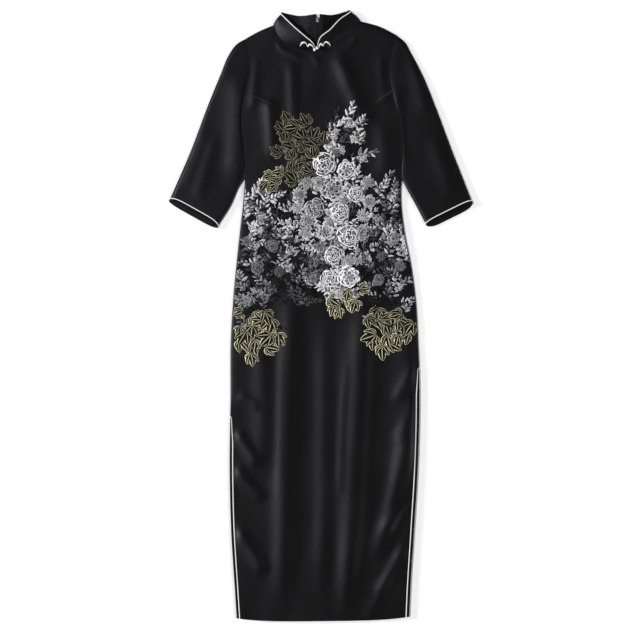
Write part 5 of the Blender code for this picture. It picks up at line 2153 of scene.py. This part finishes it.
@dataclass(frozen=True)
class Embroidery:
    """Flowers, leafy sprigs and lobed gold leaves. The layout is the builder's own: a loose column of
    blooms, and ovals filled along a sunflower spiral."""

    seed: int = 11
    sprig_leaves: int = 9
    thinning: float = 0.45
    lights: Triple = (0.10, 0.48, 1.22)
    light_shares: Triple = (0.42, 0.20, 0.38)
    base: float = 0.0003
    petal_base: float = 0.0007
    petal_step: float = 0.00045
    stem_width: float = 0.0012

    def spots(self, bed: Bed, rng: np.random.Generator) -> tuple[Array, Array, Array]:
        """Places in a bed.

        The i-th of n lies at radius sqrt((i + 1/2) / n) and angle i times the golden angle, both with
        a little jitter.

        Args:
            bed: the patch.
            rng: source of the jitter.

        Returns:
            x, y, and how light the motif at each place is.
        """
        i = np.arange(bed.count)
        radius = np.sqrt((i + 0.5) / bed.count) + rng.normal(0, 0.03, bed.count)
        turn = i * GOLDEN_ANGLE + rng.normal(0, 0.15, bed.count)
        px, py = bed.across * radius * np.cos(turn), bed.along * radius * np.sin(turn)
        cos, sin = math.cos(bed.tilt), math.sin(bed.tilt)
        x, y = bed.x + px * cos - py * sin, bed.y + px * sin + py * cos
        down = np.clip(0.5 - (y - bed.y) / (2 * bed.along), 0, 1)
        return x, y, bed.top + (bed.foot - bed.top) * down

    def flower(self, bloom: Bloom, rng: np.random.Generator) -> list[Blades]:
        """Rings of petals round one middle, each ring smaller and higher than the last."""
        made = []
        for level, ring in enumerate(bloom.style.value):
            count = ring.count
            turn = rng.uniform(0, TURN) + np.arange(count) * TURN / count
            turn += rng.normal(0, 0.12, count)
            start = 0.06 * bloom.radius
            made.append(
                Blades(
                    x=bloom.x + start * np.cos(turn),
                    y=bloom.y + start * np.sin(turn),
                    angle=turn,
                    length=bloom.radius * ring.reach * rng.uniform(0.80, 1.10, count),
                    width=bloom.radius * ring.broad * rng.uniform(0.88, 1.12, count),
                    rise=self.petal_base + self.petal_step * level + rng.uniform(0, 0.00025, count),
                    fill=bloom.tone * rng.uniform(0.30, 0.78, count),
                    edge=np.clip(bloom.tone * rng.uniform(0.95, 1.25, count), 0, 1.04),
                    vein=np.full(count, 0.0 if ring.kind is PETAL else 0.3),
                    bend=rng.normal(0, 0.03, count),
                    kind=ring.kind,
                    line=0.0019 if ring.kind is PETAL else 0.0009,
                )
            )
        return made

    def sprigs(self, bed: Bed, rng: np.random.Generator) -> list[Blades]:
        """Leafy sprigs over a bed.

        Leaf k of a sprig sits at the share k / n of a stem that turns by its curl, on alternate sides
        and opened by 0.95 - 0.5 k / n; the last one ends the stem.

        Args:
            bed: the patch.
            rng: source of the random draws.

        Returns:
            The leaves and the stems.
        """
        x, y, tone = self.spots(bed, rng)
        down = (bed.top - tone) / max(bed.top - bed.foot, 0.01)
        kept = rng.random(bed.count) > self.thinning * down
        x, y, tone = x[kept], y[kept], tone[kept]
        count, leaves = len(x), self.sprig_leaves
        share = (np.arange(leaves) / (leaves - 1))[None, :]
        aim = (bed.aim + rng.normal(0, 0.85, count))[:, None]
        curl = rng.normal(0, 0.5, count)[:, None]
        reach = (bed.size * rng.uniform(2.0, 3.2, count))[:, None]
        heading = aim + curl * share
        side = np.where(np.arange(leaves) % 2, 1.0, -1.0)[None, :] * (share < 0.99)
        size = (count, leaves)
        bright = rng.choice(self.lights, (count, 1), p=self.light_shares)
        bright = np.clip(bright + rng.normal(0, 0.14, size), 0.05, 1.30)
        level = tone[:, None] * bright
        length = bed.size * (1.05 - 0.35 * share) * rng.uniform(0.7, 1.25, size)
        grown = Blades(
            x=(x[:, None] + share * reach * np.cos(aim + curl * share / 2)).ravel(),
            y=(y[:, None] + share * reach * np.sin(aim + curl * share / 2)).ravel(),
            angle=(heading + side * (0.95 - 0.5 * share) + rng.normal(0, 0.12, size)).ravel(),
            length=length.ravel(),
            width=(length * rng.uniform(0.28, 0.46, size)).ravel(),
            rise=self.base + rng.uniform(0, 0.0006, size).ravel(),
            fill=(level * rng.uniform(0.55, 1.2, size)).ravel(),
            edge=np.clip(level * 1.5, 0, 1.05).ravel(),
            vein=rng.uniform(0.2, 0.9, size).ravel(),
            bend=rng.normal(0, 0.06, size).ravel(),
            kind=LEAF,
            line=0.0007,
        )
        stems = Blades(
            x=x,
            y=y,
            angle=(aim + curl / 2)[:, 0],
            length=reach[:, 0],
            width=np.full(count, self.stem_width),
            rise=self.base + rng.uniform(0, 0.0003, count),
            fill=tone * 0.4,
            edge=tone * 0.5,
            vein=np.zeros(count),
            bend=-curl[:, 0] * 0.12,
            kind=LEAF,
        )
        return [stems, grown]

    def lobed(self, bed: Bed, rng: np.random.Generator) -> list[Blades]:
        """Gold leaves over a bed, each a fan of five lobes drawn in outline on a dark fill."""
        x, y, tone = self.spots(bed, rng)
        aim = bed.aim + rng.normal(0, 0.75, bed.count)
        size = bed.size * rng.uniform(0.8, 1.15, bed.count)
        made = []
        for number, (turn, reach) in enumerate(LOBES):
            length = size * reach * rng.uniform(0.9, 1.08, bed.count)
            made.append(
                Blades(
                    x=x,
                    y=y,
                    angle=aim + turn * 0.85 + rng.normal(0, 0.06, bed.count),
                    length=length,
                    width=length * rng.uniform(0.42, 0.52, bed.count),
                    rise=0.0004 + 0.0001 * (2 - abs(number - 2)) + 0.0001 * np.arange(bed.count) % 0.0006,
                    fill=0.2 * tone,
                    edge=tone * rng.uniform(0.85, 1.1, bed.count),
                    vein=np.full(bed.count, 0.6),
                    bend=rng.normal(0, 0.03, bed.count) + 0.03 * turn,
                    kind=LOBE,
                    line=0.0013,
                )
            )
        return made

    def piece(self, name: str, batches: Sequence[Blades], look: Look) -> Piece:
        """One mesh for several batches."""
        faces, points, uv, tones = join_blades(batches)
        obj = add_mesh(name, points, faces)
        put_uv(obj, uv)
        put_colours(obj, "tone", tones)
        return finish_piece(obj, look)

    def build(self, finish: Finishes) -> list[Piece]:
        """Builds the sprigs, the gold leaves and the flowers."""
        rng = np.random.default_rng(self.seed)
        sprigs = [batch for bed in SPRIG_BEDS for batch in self.sprigs(bed, rng)]
        gold = [batch for bed in GOLD_BEDS for batch in self.lobed(bed, rng)]
        flowers = [batch for bloom in BLOOMS for batch in self.flower(bloom, rng)]
        return [
            self.piece("silver_leaves", sprigs, finish.silver),
            self.piece("gold_leaves", gold, finish.gold),
            self.piece("silver_flowers", flowers, finish.silver),
        ]


# --- Studio ---
@dataclass(frozen=True)
class Studio:
    """A pale floor, soft lights and a camera straight above."""

    middle: tuple[float, float] = (-0.0018, -0.0088)
    span: float = 1.376
    lens: float = 200.0
    sensor: float = 36.0
    farthest: float = 50.0
    floor_half: float = 6.0
    floor_level: float = -0.0004
    floor_tones: tuple[Triple, Triple] = ((0.90, 0.90, 0.90), (0.93, 0.93, 0.93))
    floor_rough: float = 0.9
    ambient: float = 0.04

    def floor(self) -> None:
        """Builds the floor."""
        ends = (-self.floor_half, self.floor_half)
        obj = add_sheet("floor", points_of(*np.meshgrid(ends, ends), self.floor_level))
        shader = Shader("pale_floor")
        cloud = shader.noise(shader.place(), 3.0)
        shader.set(Base_Color=shader.mix(cloud, *self.floor_tones), Roughness=self.floor_rough)
        obj.data.materials.append(shader.material)

    def lamp(
        self, name: str, place: Triple, aim: Triple, size: float, power: float, mirrored: bool
    ) -> None:
        """A square soft light that looks from `place` at `aim`.

        Args:
            name: the lamp's name.
            place: where it hangs, m.
            aim: the point it looks at, m.
            size: the side of its square, m.
            power: its power, W.
            mirrored: whether shiny surfaces show it.
        """
        data = bpy.data.lights.new(name, "AREA")
        data.shape = "SQUARE"
        data.size = size
        data.energy = power
        obj = bpy.data.objects.new(name, data)
        obj.location = place
        obj.rotation_euler = (Vector(aim) - Vector(place)).to_track_quat("-Z", "Y").to_euler()
        obj.visible_glossy = mirrored
        bpy.context.scene.collection.objects.link(obj)

    def camera(self) -> None:
        """Places the camera."""
        data = bpy.data.cameras.new("camera")
        data.lens = self.lens
        data.sensor_width = self.sensor
        data.clip_end = self.farthest
        obj = bpy.data.objects.new("camera", data)
        obj.location = (*self.middle, self.span * self.lens / self.sensor)
        bpy.context.scene.collection.objects.link(obj)
        bpy.context.scene.camera = obj

    def build(self) -> None:
        """Builds the stage."""
        self.floor()
        self.lamp("key", (-5.6, 0.2, 8.0), (0, 0, 0), 1.8, 700, True)
        self.lamp("low", (-8.6, 1.6, 2.0), (0, 0, 0), 1.2, 850, False)
        self.lamp("fill", (6.0, -1.0, 4.0), (0.3, 0, 0), 4.6, 300, True)
        self.lamp("back", (0.6, 7.0, 4.2), (0, 0, 0), 3.6, 40, True)
        world = bpy.data.worlds.new("studio")
        world.use_nodes = True
        background = world.node_tree.nodes["Background"]
        background.inputs["Color"].default_value = (1, 1, 1, 1)
        background.inputs["Strength"].default_value = self.ambient
        bpy.context.scene.world = world
        bpy.context.scene.view_settings.view_transform = "Standard"
        self.camera()


# --- Dress ---
def declare_sheets(
    trims: dict[str, list[Piece]],
    sleeves: dict[Side, tuple],
    collars: dict[Side, tuple],
) -> None:
    """Goes through the strips, sleeves and collar pieces, and states nothing about them.

    Args:
        trims: strips by the panel that they edge.
        sleeves: tube and strips of each sleeve.
        collars: band and strips of each half of the collar.
    """
    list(trims["front"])
    for side, width, area in ((LEFT, 0.200, 0.215), (RIGHT, 0.215, 0.230)):
        key = f"back_{side.value}"
        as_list(trims[key])
    for side in Side:
        cloth, strips = sleeves[side]
        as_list(strips)
        band, edges = collars[side]
        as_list(edges)


def main() -> None:
    """Builds the dress and its studio."""
    logging.basicConfig(level=logging.INFO, format="%(name)s %(message)s")
    finish = Finishes.make()
    Studio().build()
    panels = Panels().build(finish)
    trims = SlitTrim().build(finish)
    sleeves = {side: Sleeve(side).build(finish) for side in Side}
    collars = {side: Collar(side).build(finish) for side in Side}
    Zip().build(finish)
    under = [panels["front"]]
    for band, edges in collars.values():
        under += [band, *edges]
    Frog().build(under, finish)
    stitched = [*Darts().build(finish), *Embroidery().build(finish)]
    declare_sheets(trims, sleeves, collars)


if __name__ == "__main__":
    main()
